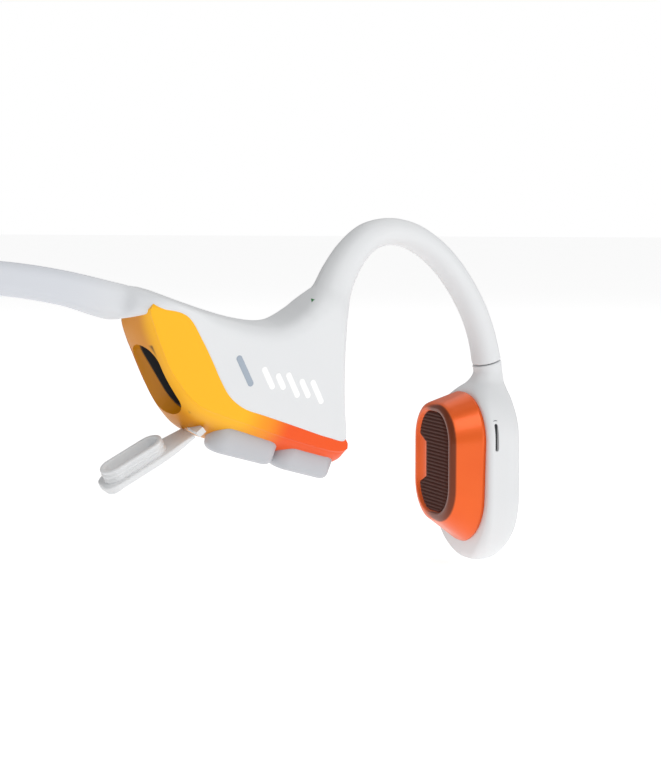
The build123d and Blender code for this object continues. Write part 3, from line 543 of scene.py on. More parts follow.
@dataclass
class WhiteBody:
    """The white parts: band, two pod skins with their hooks, and two driver shells."""

    layout: Layout
    band: BandLine = field(default_factory=BandLine)
    pod: PodSkin = field(default_factory=PodSkin)
    hook: HookLine = field(default_factory=HookLine)
    shell: DriverShell = field(default_factory=DriverShell)
    seam: float = 0.12
    seam_round: float = 0.22
    slot_place: tuple[float, float, float, float] = (5.0, -7.1, 4.9, 0.7)
    band_reach: float = 14.0
    flex_reach: float = 7.0

    def build(self, finish: "Finish") -> None:
        """Builds and dresses the pieces of both sides.

        Args:
            finish: The silicone's finish.
        """
        band = self.band.stations(self.layout.pod.origin)
        whole = band.joined(self.pod.stations(self.layout.pod)).joined(self.hook.stations(self.layout.hook))
        fine = whole.sampled()
        steps = whole.steps
        middle, split = steps, 3 * steps
        self.make_band(fine, middle, split, finish)
        for side in Side:
            self.make_skin(fine.part(split, len(fine.half)), side, finish)
            self.make_shell(side, finish)

    def make_band(self, fine: Stations, middle: int, split: int, finish: "Finish") -> None:
        """Middle stretch of the band, between the two sides.

        Args:
            fine: All sections from just past the band's middle.
            middle: Index of the section in the middle of the band.
            split: Index of the section where the sides' own skins start.
            finish: The silicone's finish.
        """
        right = fine.part(middle, split + 1).rings()
        left = right[:0:-1] * [-1.0, 1.0, 1.0]
        points, faces = ring_solid(np.concatenate([left, right]))
        piece = make_piece("band_skin", points, faces)
        finish.dress(piece)
        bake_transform(piece)
        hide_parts("right_band_sleeve", "left_band_sleeve")

    def make_skin(self, fine: Stations, side: Side, finish: "Finish") -> None:
        """Pod skin and hook of one side."""
        rings = self.seamed(fine.rings(), at_end=True)
        points, faces = ring_solid(rings)
        piece = make_piece(f"{side.word}_white_skin", points, faces, side)
        finish.dress(piece)
        along = self.layout.hook.axes[0] * self.flex_reach * MM
        mirror = np.array([side.value, 1, 1])
        start, end = ((self.layout.flex_point - along) * mirror, (self.layout.flex_point + along) * mirror)
        f"{side.word}_side"
        f"{side.word}_driver"
        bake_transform(piece)
        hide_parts(f"{side.word}_pod_skin", f"{side.word}_hook_sleeve")

    def make_shell(self, side: Side, finish: "Finish") -> None:
        """Driver shell of one side."""
        hook = self.hook.stations(self.layout.hook)
        last = len(hook.half) - 1
        both = hook.part(last - 1, last + 1).joined(self.shell.stations(self.layout.driver)).sampled()
        rings = self.seamed(both.part(both.steps, len(both.half)).rings(), at_end=False)
        points, faces = ring_solid(rings)
        piece = make_piece(f"{side.word}_shell_skin", points, faces, side)
        finish.dress(piece)
        cut_out(piece, self.make_slot(side))
        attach(piece, f"{side.word}_driver")
        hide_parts(f"{side.word}_driver_shell")

    def make_slot(self, side: Side) -> bpy.types.Object:
        """Cutter of the microphone slot: a flat pill through the shell's side."""
        v, w, length, width = self.slot_place
        flat = rounded_rectangle(width, length, width / 2) + [w, v]
        rings = np.stack([np.column_stack([np.full(len(flat), u), flat[:, 1], flat[:, 0]]) for u in (8.4, 12.0)])
        points, faces = ring_solid(self.layout.driver.out(rings))
        return make_piece("slot_cutter", points, faces, side)

    def seamed(self, rings: Array, at_end: bool) -> Array:
        """Rounds the edge of the ring at one end, so that a fine groove shows at the seam.

        The last ring is moved back by the groove's width, and a copy of it shrinks towards its middle.

        Args:
            rings: Rings of the piece.
            at_end: Whether the seam is at the last ring or the first.

        Returns:
            The rings with two more at the seam.
        """
        if not at_end:
            return self.seamed(rings[::-1], True)[::-1]
        middle = rings[-1:].mean(1, keepdims=True)
        travel = middle - rings[-2:-1].mean(1, keepdims=True)
        travel /= np.linalg.norm(travel)
        radius = np.linalg.norm(rings[-1:] - middle, axis=2).mean() / MM
        angles = np.linspace(0, math.pi / 2, 4)
        extra = [
            middle
            + (rings[-1:] - middle) * (1 - self.seam_round * (1 - math.cos(a)) / radius)
            + travel * (-self.seam - self.seam_round * (1 - math.sin(a))) * MM
            for a in angles
        ]
        return np.concatenate([rings[:-1], *extra])


# ---- Coloured shell ----------------------------------------------------------------------------------
@dataclass
class ColourShell:
    """Lower and rear shell: sections run from the parting line over the crease to the head-side rim."""

    layout: Layout
    # (u, v) of the parting line, of the crease and of the rim on the head side
    rows: Sequence[tuple[float, ...]] = (
        (-20.5, 14.7, -20.7, 14.4, -21.7, 13.2),
        (-19.2, 14.5, -20.45, 13.5, -21.65, 12.2),
        (-17.2, 14.05, -19.7, 11.9, -21.3, 9.9),
        (-14.5, 13.2, -18.8, 9.9, -20.2, 7.4),
        (-12.8, 12.0, -17.8, 7.8, -18.9, 5.0),
        (-11.1, 9.0, -16.1, 4.5, -17.4, 2.0),
        (-8.9, 5.3, -14.1, 1.9, -15.8, -1.2),
        (-7.2, 2.2, -12.1, -0.4, -13.6, -4.4),
        (-5.2, -0.8, -9.6, -2.2, -10.7, -7.3),
        (-2.6, -2.8, -5.8, -3.8, -6.6, -9.4),
        (1.8, -4.25, -1.3, -5.4, -2.0, -10.7),
        (8.3, -6.6, 5.2, -7.8, 4.6, -12.6),
        (13.6, -8.5, 11.9, -10.0, 11.6, -14.6),
        (16.6, -9.5, 15.9, -11.1, 16.4, -15.8),
        (17.9, -9.9, 17.6, -11.2, 18.6, -15.4),
        (18.35, -10.0, 18.4, -10.9, 19.5, -13.6),
    )
    face: float = 4.68
    under: float = 1.6
    steps: int = 6

    def section(self, fine: Array) -> Array:
        """Closed sections in the pod's frame.

        Each runs from under the white skin, over the flat face to the crease, dips in a soft groove,
        bulges over the slanted wall to the rim, and returns on the head side.

        Args:
            fine: Rows of parting line, crease and rim.

        Returns:
            Points as (section, place on the section, 3) in millimetres.
        """
        edge, crease, rim = fine[:, 0:2], fine[:, 2:4], fine[:, 4:6]
        reach = rim - crease
        length = np.linalg.norm(reach, axis=1, keepdims=True)
        down = reach / np.maximum(length, 1e-6)
        size = np.clip(length / 4.0, 0.25, 1.0)
        inner = edge - down * self.under * size
        stops = (
            (inner, self.face - 0.5), (edge - down * 0.4 * size, self.face - 0.06), (edge, self.face),
            (edge + (crease - edge) * 0.5, self.face), (crease, self.face - 0.06),
            (crease + reach * 0.07, self.face - 0.42), (crease + reach * 0.2 + down * 0.1 * size, self.face - 1.0),
            (crease + reach * 0.42 + down * 0.45 * size, self.face - 2.5),
            (crease + reach * 0.68 + down * 0.5 * size, self.face - 4.8),
            (crease + reach * 0.9 + down * 0.3 * size, self.face - 7.2), (rim, self.face - 8.6),
            (rim - down * 0.5 * size, -self.face + 0.1), (rim - down * 1.4 * size, -self.face),
            (edge, -self.face), (inner, -self.face + 0.4),
        )
        points = np.stack([np.column_stack([flat, np.full(len(flat), w)]) for flat, w in stops], axis=1)
        knots = np.arange(len(stops), dtype=float)
        count = points.shape[0]
        around = smooth_rows(points.transpose(1, 0, 2).reshape(len(stops), -1), knots, 4)
        return around.reshape(len(around), count, 3).transpose(1, 0, 2)

    def build(self, finish: "Finish") -> None:
        """Builds both sides' shells and cuts the right one for the port.

        Args:
            finish: The coloured plastic's finish.
        """
        rows = np.array(self.rows)
        fine = smooth_rows(rows, spaced(rows), self.steps)
        points, faces = ring_solid(self.layout.pod.out(self.section(fine)))
        for side in Side:
            piece = make_piece(f"{side.word}_colour_shell", points, faces, side)
            finish.dress(piece, side)
            if side is Side.RIGHT:
                cut_out(piece, PortCutter(self.layout).build())
            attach(piece, f"{side.word}_side")
            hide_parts(f"{side.word}_pod_shell")

def cut_out(piece: bpy.types.Object, cutter: bpy.types.Object) -> None:
    """Takes a cutter out of a piece for good and removes the cutter."""
    modifier = piece.modifiers.new("cut", "BOOLEAN")
    modifier.operation = "DIFFERENCE"
    modifier.solver = "EXACT"
    modifier.object = cutter
    bpy.context.view_layer.update()
    graph = bpy.context.evaluated_depsgraph_get()
    mesh = bpy.data.meshes.new_from_object(piece.evaluated_get(graph))
    piece.modifiers.clear()
    piece.data = mesh
    bpy.data.objects.remove(cutter)
    edge_smooth(piece, 35.0)


def edge_smooth(piece: bpy.types.Object, degrees: float) -> None:
    """Shades a piece smooth, with sharp edges where its faces turn by more than an angle."""
    mesh = piece.data
    work = bmesh.new()
    work.from_mesh(mesh)
    limit = math.radians(degrees)
    for edge in work.edges:
        edge.smooth = len(edge.link_faces) != 2 or edge.calc_face_angle(0.0) < limit
    for face in work.faces:
        face.smooth = True
    work.to_mesh(mesh)
    work.free()


@dataclass
class PortCutter:
    """The recess of the charging port, as a solid to take out of the coloured shell."""

    layout: Layout
    length: float = 13.0
    width: float = 5.9
    outer: float = 4.0
    depth: float = 3.3

    def build(self) -> bpy.types.Object:
        """Builds the cutter: a slot shape that widens a little towards its mouth."""
        outlines = [
            (rounded_rectangle(self.length, self.width, self.width / 2), -self.depth),
            (rounded_rectangle(self.length, self.width, self.width / 2), -0.6),
            (rounded_rectangle(self.length + 0.7, self.width + 0.7, self.width / 2 + 0.35), 0.0),
            (rounded_rectangle(self.length + 1.6, self.width + 1.0, self.width / 2 + 0.5), self.outer),
        ]
        points, faces = ring_solid(self.layout.port.out(layered(outlines)))
        return make_piece("port_cutter", points, faces)


# ---- Driver front ------------------------------------------------------------------------------------
@dataclass
class DriverFront:
    """Tapered cap with a rounded rim, and the ribbed pad set into it."""

    layout: Layout
    face: tuple[float, float, float] = (16.4, 20.8, 6.6)
    base: tuple[float, float, float] = (18.9, 27.2, 8.6)
    depth: float = 5.6
    drop: float = 1.1
    rim: float = 1.25
    sink: float = 0.45
    notch: tuple[float, float, float] = (3.0, 7.6, 1.3)
    pitch: float = 0.64
    rib: float = 0.16
    yaw: float = 5.0
    slide: float = -0.9
    lean: float = 0.04

    @property
    def place(self) -> Place:
        """The driver's frame, with the front turned a little backwards."""
        turn = math.radians(self.yaw)
        across, up, cheek = self.layout.driver.axes
        turned = across * math.cos(turn) + cheek * math.sin(turn)
        return Place(self.layout.driver.origin, np.array([turned, up, np.cross(turned, up)]))

    def outline(self, inset: float, share: float) -> Array:
        """Outline of the cap between its face and its base.

        Args:
            inset: Distance inwards from the outline.
            share: 0 at the face, 1 at the base.

        Returns:
            Points as (count, 2).
        """
        width, height, radius = (a + (b - a) * share for a, b in zip(self.face, self.base))
        flat = rounded_rectangle(width - 2 * inset, height - 2 * inset, max(radius - inset, 0.6))
        flat = flat - [0.0, self.drop * share]
        return flat + np.column_stack([self.slide + self.lean * share * flat[:, 1], np.zeros(len(flat))])

    def cap_rings(self) -> Array:
        """Rings from the base, up the taper, round the rim and down to the floor under the pad."""
        taper = [(self.outline(0.0, s), -self.depth * s) for s in (1.0, 0.96, 0.8, 0.6, 0.4, 0.25, 0.16)]
        base = [(self.outline(0.6, 1.0), -self.depth - 1.6), (self.outline(0.3, 1.0), -self.depth - 0.5)]
        edge = [(self.outline(0.14, 0.1), -0.34), (self.outline(0.34, 0.05), -0.12), (self.outline(0.62, 0.0), 0.0)]
        inner = self.rim
        seat = [
            (self.outline(inner - 0.15, 0.0), 0.0), (self.outline(inner, 0.0), -0.08),
            (self.outline(inner + 0.08, 0.0), -self.sink), (self.outline(inner + 3.0, 0.0), -self.sink - 0.1),
        ]
        return layered(base + taper + edge + seat)

    def pad_grid(self) -> tuple[Array, list[tuple[int, ...]]]:
        """Ribbed surface: rows across the pad, with half-round ribs that run from side to side.

        The half width at height v follows the pad's rounded outline; on the inner side a step with sloped
        ends is taken out. The height is a row of rounded ribs, w = rib * |sin(pi v / pitch)|.

        Returns:
            Vertices in local millimetres and faces.
        """
        width, height = self.face[0] / 2 - self.rim - 0.12, self.face[1] / 2 - self.rim - 0.12
        radius = self.face[2] - self.rim
        v = np.linspace(-height, height, 360)
        past = np.clip(np.abs(v) - (height - radius), 0, radius)
        reach = width - radius + np.sqrt(np.maximum(radius**2 - past**2, 0.0))
        step_w, step_h, slope = self.notch
        dent = step_w * np.clip((step_h / 2 + slope / 2 - np.abs(v)) / slope, 0, 1)
        left = np.maximum(-reach, -width + dent)
        share = np.linspace(0, 1, 12)[None, :]
        u = self.slide + left[:, None] + (reach - left)[:, None] * share
        edge = np.minimum(share, 1 - share) * (reach - left)[:, None]
        fade = np.clip(edge / 0.35, 0, 1) * np.clip((height - np.abs(v)) / 0.4, 0, 1)[:, None]
        w = -self.sink + 0.12 + self.rib * np.abs(np.sin(math.pi * v / self.pitch))[:, None] * fade
        w = np.where(fade < 0.05, -self.sink - 0.1, w)
        grid = np.stack([u, np.repeat(v[:, None], 12, 1), w], -1)
        return grid.reshape(-1, 3), grid_faces(len(v), 12, False)

    def build(self, cap: "Finish", pad: "Finish") -> None:
        """Builds cap and pad on both sides.

        Args:
            cap: Finish of the cap.
            pad: Finish of the ribbed pad.
        """
        points, faces = ring_solid(self.place.out(self.cap_rings()))
        grid, quads = self.pad_grid()
        for side in Side:
            piece = make_piece(f"{side.word}_cap_skin", points, faces, side)
            cap.dress(piece, side)
            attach(piece, f"{side.word}_driver")
            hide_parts(f"{side.word}_driver_cap", f"{side.word}_cap_gasket")
            ribs = make_piece(f"{side.word}_ribbed_pad", self.place.out(grid), quads, side)
            self.face_cheek(ribs, side)
            pad.dress(ribs, side)
            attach(ribs, f"{side.word}_driver")
            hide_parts(f"{side.word}_contact_pad")

    def face_cheek(self, piece: bpy.types.Object, side: Side) -> None:
        """Turns an open sheet's faces towards the cheek."""
        cheek = Vector(self.layout.driver.axes[2] * [side.value, 1, 1])
        total = sum((face.normal * face.area for face in piece.data.polygons), Vector())
        if total.dot(cheek) < 0:
            piece.data.flip_normals()


# ---- Keys, light, flap, marks ------------------------------------------------------------------------
@dataclass
class Keys:
    """Two long keys on the bottom edge, with a slanted split between them."""

    layout: Layout
    middle: tuple[float, float] = (5.1, -12.6)
    slope: float = -16.0
    across: float = 0.4
    width: float = 5.4
    spans: tuple[tuple[float, float], ...] = ((-12.2, 0.35), (0.85, 12.3))
    split: float = 1.1
    proud: float = 1.3
    bury: float = 4.6
    round: float = 1.3

    def build(self, finish: "Finish") -> None:
        """Builds both keys.

        Each is a stack of rounded outlines: the edge of its outer face follows a quarter circle, and the
        end at the split is sheared so that the split runs at a slant.

        Args:
            finish: The keys' plastic.
        """
        turn = math.radians(self.slope)
        ahead, rise = np.array([math.cos(turn), math.sin(turn)]), np.array([-math.sin(turn), math.cos(turn)])
        for node, (start, end) in zip(("volume_down_key", "volume_up_key"), self.spans):
            length = end - start
            angles = np.linspace(0, math.pi / 2, 6)
            levels = [(self.round * (1 - math.sin(a)), -self.proud + self.round * (1 - math.cos(a))) for a in angles]
            levels = [(self.round + 1.2, -self.proud - 0.05), *levels, (0.0, self.bury)]
            rings = []
            for inset, level in levels:
                flat = rounded_rectangle(length - 2 * inset, self.width - 2 * inset, 2.5 - min(inset, 1.6))
                along = flat[:, 0] + (start + end) / 2
                lean = self.split * flat[:, 1] / self.width
                near_split = np.clip(1 - np.abs(along - 0.6) / 4.0, 0, 1)
                along = along + lean * near_split
                place = np.array(self.middle) + along[:, None] * ahead + level * rise
                rings.append(np.column_stack([place, self.across + flat[:, 1]]))
            points, faces = ring_solid(self.layout.pod.out(np.array(rings)))
            piece = make_piece(f"{node}_cap", points, faces)
            finish.dress(piece)
            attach(piece, node)
            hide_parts(node)


@dataclass
class FaceMarks:
    """Light guide and a row of plain slanted bars printed on the pod's face."""

    layout: Layout
    light: tuple[float, float, float, float, float] = (-2.9, 3.7, 6.0, 1.05, 120.0)
    # (u, v, length) of each printed bar; all lie at the same slant
    bars: Sequence[tuple[float, float, float]] = (
        (1.6, 2.3, 4.4), (4.0, 1.6, 3.2), (6.4, 0.9, 5.0), (8.8, 0.2, 3.8), (11.2, -0.5, 4.8),
    )
    bar_width: float = 1.0
    face: float = 4.8

    def pill(self, u: float, v: float, length: float, width: float, degrees: float, rise: float) -> Array:
        """Rings of a flat pill with a rounded edge, standing a little off the face.

        Args:
            u: Middle, forwards.
            v: Middle, upwards.
            length: End to end.
            width: Side to side.
            degrees: Direction of its length.
            rise: Height over the face.

        Returns:
            Rings in the pod's frame, in millimetres.
        """
        turn = math.radians(degrees)
        turning = np.array([[math.cos(turn), math.sin(turn)], [-math.sin(turn), math.cos(turn)]])
        steps = ((0.0, self.face - 0.5), (0.0, self.face + rise * 0.6), (rise * 0.5, self.face + rise), (0.3, self.face + rise))
        outlines = [(rounded_rectangle(length - 2 * i, width - 2 * i, width / 2 - i) @ turning + [u, v], w) for i, w in steps]
        return layered(outlines)

    def build(self, lens: "Finish", print_finish: "Finish") -> None:
        """Builds the light guide and the bars.

        Args:
            lens: Finish of the light guide.
            print_finish: Finish of the printed bars.
        """
        u, v, length, width, degrees = self.light
        points, faces = ring_solid(self.layout.pod.out(self.pill(u, v, length, width, degrees, 0.05)))
        piece = make_piece("light_guide", points, faces)
        lens.dress(piece)
        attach(piece, "right_side")
        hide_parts("light_lens")
        for number, (u, v, length) in enumerate(self.bars, 1):
            points, faces = ring_solid(self.layout.pod.out(self.pill(u, v, length, self.bar_width, degrees, 0.03)))
            bar = make_piece(f"printed_bar_{number}", points, faces)
            print_finish.dress(bar)
            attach(bar, "right_side")


@dataclass
class PortFlap:
    """Silicone flap of the port: a curved strap with a rounded tab, and a ribbed plug on its inner side."""

    layout: Layout
    length: float = 17.9
    width: float = 6.4
    thick: float = 1.2
    reach: float = 11.2
    plug: tuple[float, float] = (11.7, 4.9)
    plug_height: float = 2.1

    def place(self, frame: dict[str, Any]) -> Place:
        """Frame of the open flap, from its hinge and the port's mouth.


        Returns:
            x along the flap from the hinge, y away from the plug, z outwards from the head.
        """
        joint = next(j for j in frame["joints"] if j["name"] == "port_flap_hinge")
        hinge = np.array(joint["pos_m"], float)
        outward = self.layout.pod.axes[2]
        shut = self.layout.port.origin - hinge
        shut = unit(shut - outward * (shut @ outward))
        turn = math.radians(joint["range_deg"][1] + 0.1)
        along = shut * math.cos(turn) + np.cross(outward, shut) * math.sin(turn)
        return Place(hinge, np.array([along, np.cross(outward, along), outward]))

    def build(self, frame: dict[str, Any], finish: "Finish") -> None:
        """Builds strap and plug as one look.

        Args:
            finish: The flap's silicone.
        """
        place = self.place(frame)
        rows = np.array([
            (0.7, 0.05, 0.75, 2.3), (2.6, 0.0, 1.0, 2.5), (5.2, 0.0, 1.15, 2.9), (9.0, 0.0, 1.2, 3.15),
            (13.0, 0.0, 1.2, 3.2), (15.4, 0.05, 1.25, 3.15), (16.9, 0.1, 1.5, 2.75), (17.7, 0.25, 1.45, 1.9), (17.9, 0.5, 1.2, 0.9),
        ])
        x, low, high, half = rows.T
        zero = np.zeros(len(x))
        strap = Stations(
            place.out(np.column_stack([x, high, zero])), place.out(np.column_stack([x, low, zero])),
            np.repeat(place.axes[2:3], len(x), axis=0), half, np.full(len(x), 0.4), np.full(len(x), 0.3),
        ).sampled()
        points, faces = ring_solid(strap.rings())
        piece = make_piece("flap_strap", points, faces)
        finish.dress(piece)
        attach(piece, "port_flap")
        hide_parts("port_flap")
        points, faces = ring_solid(place.out(self.plug_rings()))
        plug = make_piece("flap_plug", points, faces)
        finish.dress(plug)
        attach(plug, "port_flap")

    def plug_rings(self) -> Array:
        """Rings of the plug: an oval block with two sealing ribs round it and a hollow in its end."""
        length, width = self.plug
        profile = (
            (0.0, -0.25), (0.0, 0.35), (0.22, 0.5), (0.22, 0.75), (0.0, 0.95), (0.0, 1.2), (0.22, 1.38),
            (0.22, 1.6), (0.05, 1.8), (0.1, 2.0), (0.3, 2.1), (0.85, 2.1), (1.0, 1.95), (1.1, 0.6),
        )
        rings = []
        for inset, height in profile:
            flat = rounded_rectangle(length - 2 * inset, width - 2 * inset, width / 2 - inset)
            rings.append(np.column_stack([flat[:, 0] + self.reach, np.full(len(flat), -height), flat[:, 1]]))
        return np.array(rings)


@dataclass
class MultiButton:
    """Round button in the dome of the left driver."""

    layout: Layout
    radius: float = 4.2
    drop: float = 2.4
    dome: float = -13.4
    proud: float = 0.35

    def build(self, finish: "Finish") -> None:
        """Builds the button as a turned profile: a shallow dish inside a rounded rim.

        Args:
            finish: The button's plastic.
        """
        profile = ((4.2, 1.2), (4.2, -0.15), (4.1, -0.3), (3.85, -0.36), (3.5, -0.33), (2.4, -0.22), (1.0, -0.15), (0.3, -0.14))
        angle = np.linspace(0, 2 * math.pi, 72, endpoint=False)
        rings = np.array([
            np.column_stack([r * np.cos(angle), r * np.sin(angle) - self.drop, np.full(72, self.dome + w)])
            for r, w in profile
        ])
        points, faces = ring_solid(self.layout.driver.out(rings))
        piece = make_piece("multi_button_cap", points, faces, Side.LEFT)
        finish.dress(piece)
        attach(piece, "multi_button")
        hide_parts("multi_button")


# ---- Shader expressions ------------------------------------------------------------------------------
class Maker:
    """Builds one material's node tree."""

    def __init__(self, name: str) -> None:
        """Starts an empty material."""
        self.material = bpy.data.materials.new(name)
        self.material.use_nodes = True
        self.tree = self.material.node_tree
        self.tree.nodes.clear()

    def node(self, kind: str, settings: dict[str, Any] | None = None, **inputs: Any) -> bpy.types.Node:
        """Adds any node.

        Args:
            kind: The node's type.
            settings: Its own settings, set first; "stops" holds a ramp's (place, colour) pairs.
            inputs: Values or links by socket name, with _ for a space, or by number as in_0.

        Returns:
            The node.
        """
        node = self.tree.nodes.new(kind)
        for key, value in (settings or {}).items():
            if key == "stops":
                self.set_ramp(node, value)
            else:
                setattr(node, key, value)
        for key, value in inputs.items():
            socket = node.inputs[int(key[3:])] if key.startswith("in_") else node.inputs[key.replace("_", " ")]
            if isinstance(value, Sock):
                self.tree.links.new(value.socket, socket)
            elif isinstance(value, bpy.types.NodeSocket):
                self.tree.links.new(value, socket)
            else:
                socket.default_value = value
        return node

    def set_ramp(self, node: bpy.types.Node, stops: Sequence[tuple[float, float]]) -> None:
        """Sets a ramp's stops to grey values."""
        elements = node.color_ramp.elements
        while len(elements) < len(stops):
            elements.new(0.5)
        for element, (place, value) in zip(elements, stops):
            element.position = place
            element.color = (value, value, value, 1.0)

    def value(self, kind: str, output: str | int, settings: dict[str, Any] | None = None, **inputs: Any) -> "Sock":
        """Adds a node and wraps one of its outputs."""
        return Sock(self, self.node(kind, settings, **inputs).outputs[output])

    def place(self, turned: tuple[float, float, float] = (0.0, 0.0, 0.0), centre: Array | None = None) -> "Sock":
        """Object coordinates in metres, moved to a centre and turned.

        Args:
            turned: Angles that turn the pattern.
            centre: Point that becomes zero.

        Returns:
            The coordinates.
        """
        start = self.value("ShaderNodeTexCoord", "Object")
        if centre is not None:
            start = self.value(
                "ShaderNodeVectorMath", 0, {"operation": "SUBTRACT"}, in_0=start, in_1=tuple(float(c) for c in centre)
            )
        return self.value("ShaderNodeMapping", "Vector", Vector=start, Rotation=turned)

    def along(self, centre: Array, direction: Array) -> "Sock":
        """Distance in millimetres from a point along a direction: dot(position - centre, direction) * 1000."""
        position = self.value("ShaderNodeTexCoord", "Object")
        offset = self.value(
            "ShaderNodeVectorMath", 0, {"operation": "SUBTRACT"}, in_0=position, in_1=tuple(float(c) for c in centre)
        )
        scaled = tuple(float(d) * 1000 for d in direction)
        return self.value("ShaderNodeVectorMath", "Value", {"operation": "DOT_PRODUCT"}, in_0=offset, in_1=scaled)

    def noise(self, scale: float, detail: float = 2.0, stretch: tuple[float, float, float] = (1, 1, 1)) -> "Sock":
        """Noise on object coordinates; scale is in cycles per metre."""
        position = self.value("ShaderNodeMapping", "Vector", Vector=self.place(), Scale=stretch)
        return self.value("ShaderNodeTexNoise", 0, None, Vector=position, Scale=scale, Detail=detail, Roughness=0.6)

    def step(self, value: "Sock", low: float, high: float) -> "Sock":
        """Smooth step: 0 under low, 1 over high."""
        return self.value(
            "ShaderNodeMapRange", 0, {"interpolation_type": "SMOOTHSTEP"},
            Value=value, From_Min=low, From_Max=high, To_Min=0.0, To_Max=1.0,
        )

    def blend(self, share: "Sock | float", first: Any, second: Any) -> "Sock":
        """Mixes two colours: first where share is 0, second where it is 1."""
        inputs = {"in_0": share, "in_6": first, "in_7": second}
        return self.value("ShaderNodeMix", 2, {"data_type": "RGBA"}, **inputs)

    def bump(self, height: "Sock", depth_mm: float, before: "Sock | None" = None) -> "Sock":
        """Bump from a height of 0 to 1, depth_mm millimetres high."""
        inputs: dict[str, Any] = {"Height": height, "Strength": 1.0, "Distance": depth_mm * MM}
        if before is not None:
            inputs["Normal"] = before
        return self.value("ShaderNodeBump", 0, None, **inputs)

    def finish(self, **inputs: Any) -> bpy.types.Material:
        """Ends the material in one Principled shader.

        Args:
            inputs: Its sockets by name, with _ for a space.

        Returns:
            The material.
        """
        shader = self.node("ShaderNodeBsdfPrincipled", None, **inputs)
        output = self.node("ShaderNodeOutputMaterial")
        self.tree.links.new(shader.outputs[0], output.inputs[0])
        return self.material


@dataclass(frozen=True)
class Sock:
    """An output socket; arithmetic on it adds Math nodes."""

    maker: Maker
    socket: bpy.types.NodeSocket

    def math(self, operation: str, first: Any, second: Any) -> "Sock":
        """Adds one Math node."""
        return self.maker.value("ShaderNodeMath", 0, {"operation": operation}, in_0=first, in_1=second)

    def __add__(self, other: Any) -> "Sock":
        """self + other."""
        return self.math("ADD", self, other)

    def __radd__(self, other: Any) -> "Sock":
        """other + self."""
        return self.math("ADD", other, self)

    def __sub__(self, other: Any) -> "Sock":
        """self - other."""
        return self.math("SUBTRACT", self, other)

    def __rsub__(self, other: Any) -> "Sock":
        """other - self."""
        return self.math("SUBTRACT", other, self)

    def __mul__(self, other: Any) -> "Sock":
        """self * other."""
        return self.math("MULTIPLY", self, other)

    def __rmul__(self, other: Any) -> "Sock":
        """other * self."""
        return self.math("MULTIPLY", other, self)


def colour(red: float, green: float, blue: float) -> tuple[float, float, float, float]:
    """A colour given in display values from 0 to 255, as the linear values a shader takes."""
    values = [channel / 255 for channel in (red, green, blue)]
    linear = [c / 12.92 if c <= 0.04045 else ((c + 0.055) / 1.055) ** 2.4 for c in values]
    return (*linear, 1.0)


def mirrored(point: Array, side: Side) -> Array:
    """A point or direction of the right side, as it is on a side."""
    return np.asarray(point, float) * [side.value, 1.0, 1.0]


# ---- Finishes ----------------------------------------------------------------------------------------
class Finish:
    """A finish that can dress new pieces and CAD nodes; one material for each side where sides differ."""

    sided = False

    def __init__(self) -> None:
        """Starts with no materials made."""
        self.made: dict[Side, bpy.types.Material] = {}

    def make(self, side: Side) -> bpy.types.Material:
        """Makes the material for a side."""
        raise NotImplementedError

    def material(self, side: Side = Side.RIGHT) -> bpy.types.Material:
        """The material for a side, made once."""
        side = side if self.sided else Side.RIGHT
        if side not in self.made:
            self.made[side] = self.make(side)
        return self.made[side]

    def dress(self, piece: bpy.types.Object, side: Side = Side.RIGHT) -> None:
        """Puts the material in every slot of a piece."""
        material = self.material(side)
        if not piece.data.materials:
            piece.data.materials.append(material)
        for slot in piece.material_slots:
            slot.material = material


class Plain(Finish):
    """Moulded plastic, rubber, metal or film: one colour with fine variation, and a fine surface grain."""

    def __init__(
        self, name: str, base: tuple[float, float, float], rough: float, grain: float = 6000.0,
        depth: float = 0.004, vary: float = 0.06, metal: float = 0.0, coat: float = 0.0, sheen: float = 0.0,
        stretch: tuple[float, float, float] = (1.0, 1.0, 1.0), specular: float = 0.5,
    ) -> None:
        """Keeps the finish's numbers.

        Args:
            name: The material's name.
            base: Display colour, 0 to 255.
            rough: Roughness.
            grain: Cycles per metre of the surface grain.
            depth: Height of the grain in millimetres.
            vary: How far the colour varies.
            metal: Metallic.
            coat: Clear coat's weight.
            sheen: Sheen's weight.
            stretch: Grain's scale along each axis.
            specular: Specular level.
        """
        super().__init__()
        self.name, self.base, self.rough, self.grain, self.depth = name, base, rough, grain, depth
        self.vary, self.metal, self.coat, self.sheen, self.stretch = vary, metal, coat, sheen, stretch
        self.specular = specular

    def make(self, side: Side) -> bpy.types.Material:
        """One colour mixed with a darker one by slow noise; grain in bump and roughness."""
        maker = Maker(self.name)
        slow = maker.noise(90.0, 1.0)
        fine = maker.noise(self.grain, 2.0, self.stretch)
        dark = tuple(channel * (1 - self.vary) for channel in self.base)
        return maker.finish(
            Base_Color=maker.blend(slow, colour(*self.base), colour(*dark)),
            Roughness=fine * 0.08 + (self.rough - 0.04),
            Metallic=self.metal, Coat_Weight=self.coat, Coat_Roughness=0.12,
            Sheen_Weight=self.sheen, Sheen_Roughness=0.4, Specular_IOR_Level=self.specular,
            Normal=maker.bump(fine, self.depth),
        )


class Board(Finish):
    """Solder-masked board: green with paler copper runs under the mask."""

    def make(self, side: Side) -> bpy.types.Material:
        """Brick-like runs on object coordinates, mixed into the mask's colour and lifted a little."""
        maker = Maker("board")
        position = maker.place((math.radians(90), 0.0, math.radians(30)))
        runs = maker.value(
            "ShaderNodeTexBrick", "Fac", {"offset": 0.37}, Vector=position, Scale=900.0, Mortar_Size=0.12,
            Color1=(1, 1, 1, 1), Color2=(1, 1, 1, 1), Mortar=(0, 0, 0, 1),
        )
        return maker.finish(
            Base_Color=maker.blend(runs, colour(16, 84, 52), colour(58, 128, 74)),
            Roughness=0.34 + runs * 0.1, Specular_IOR_Level=0.5, Normal=maker.bump(runs, 0.01),
        )


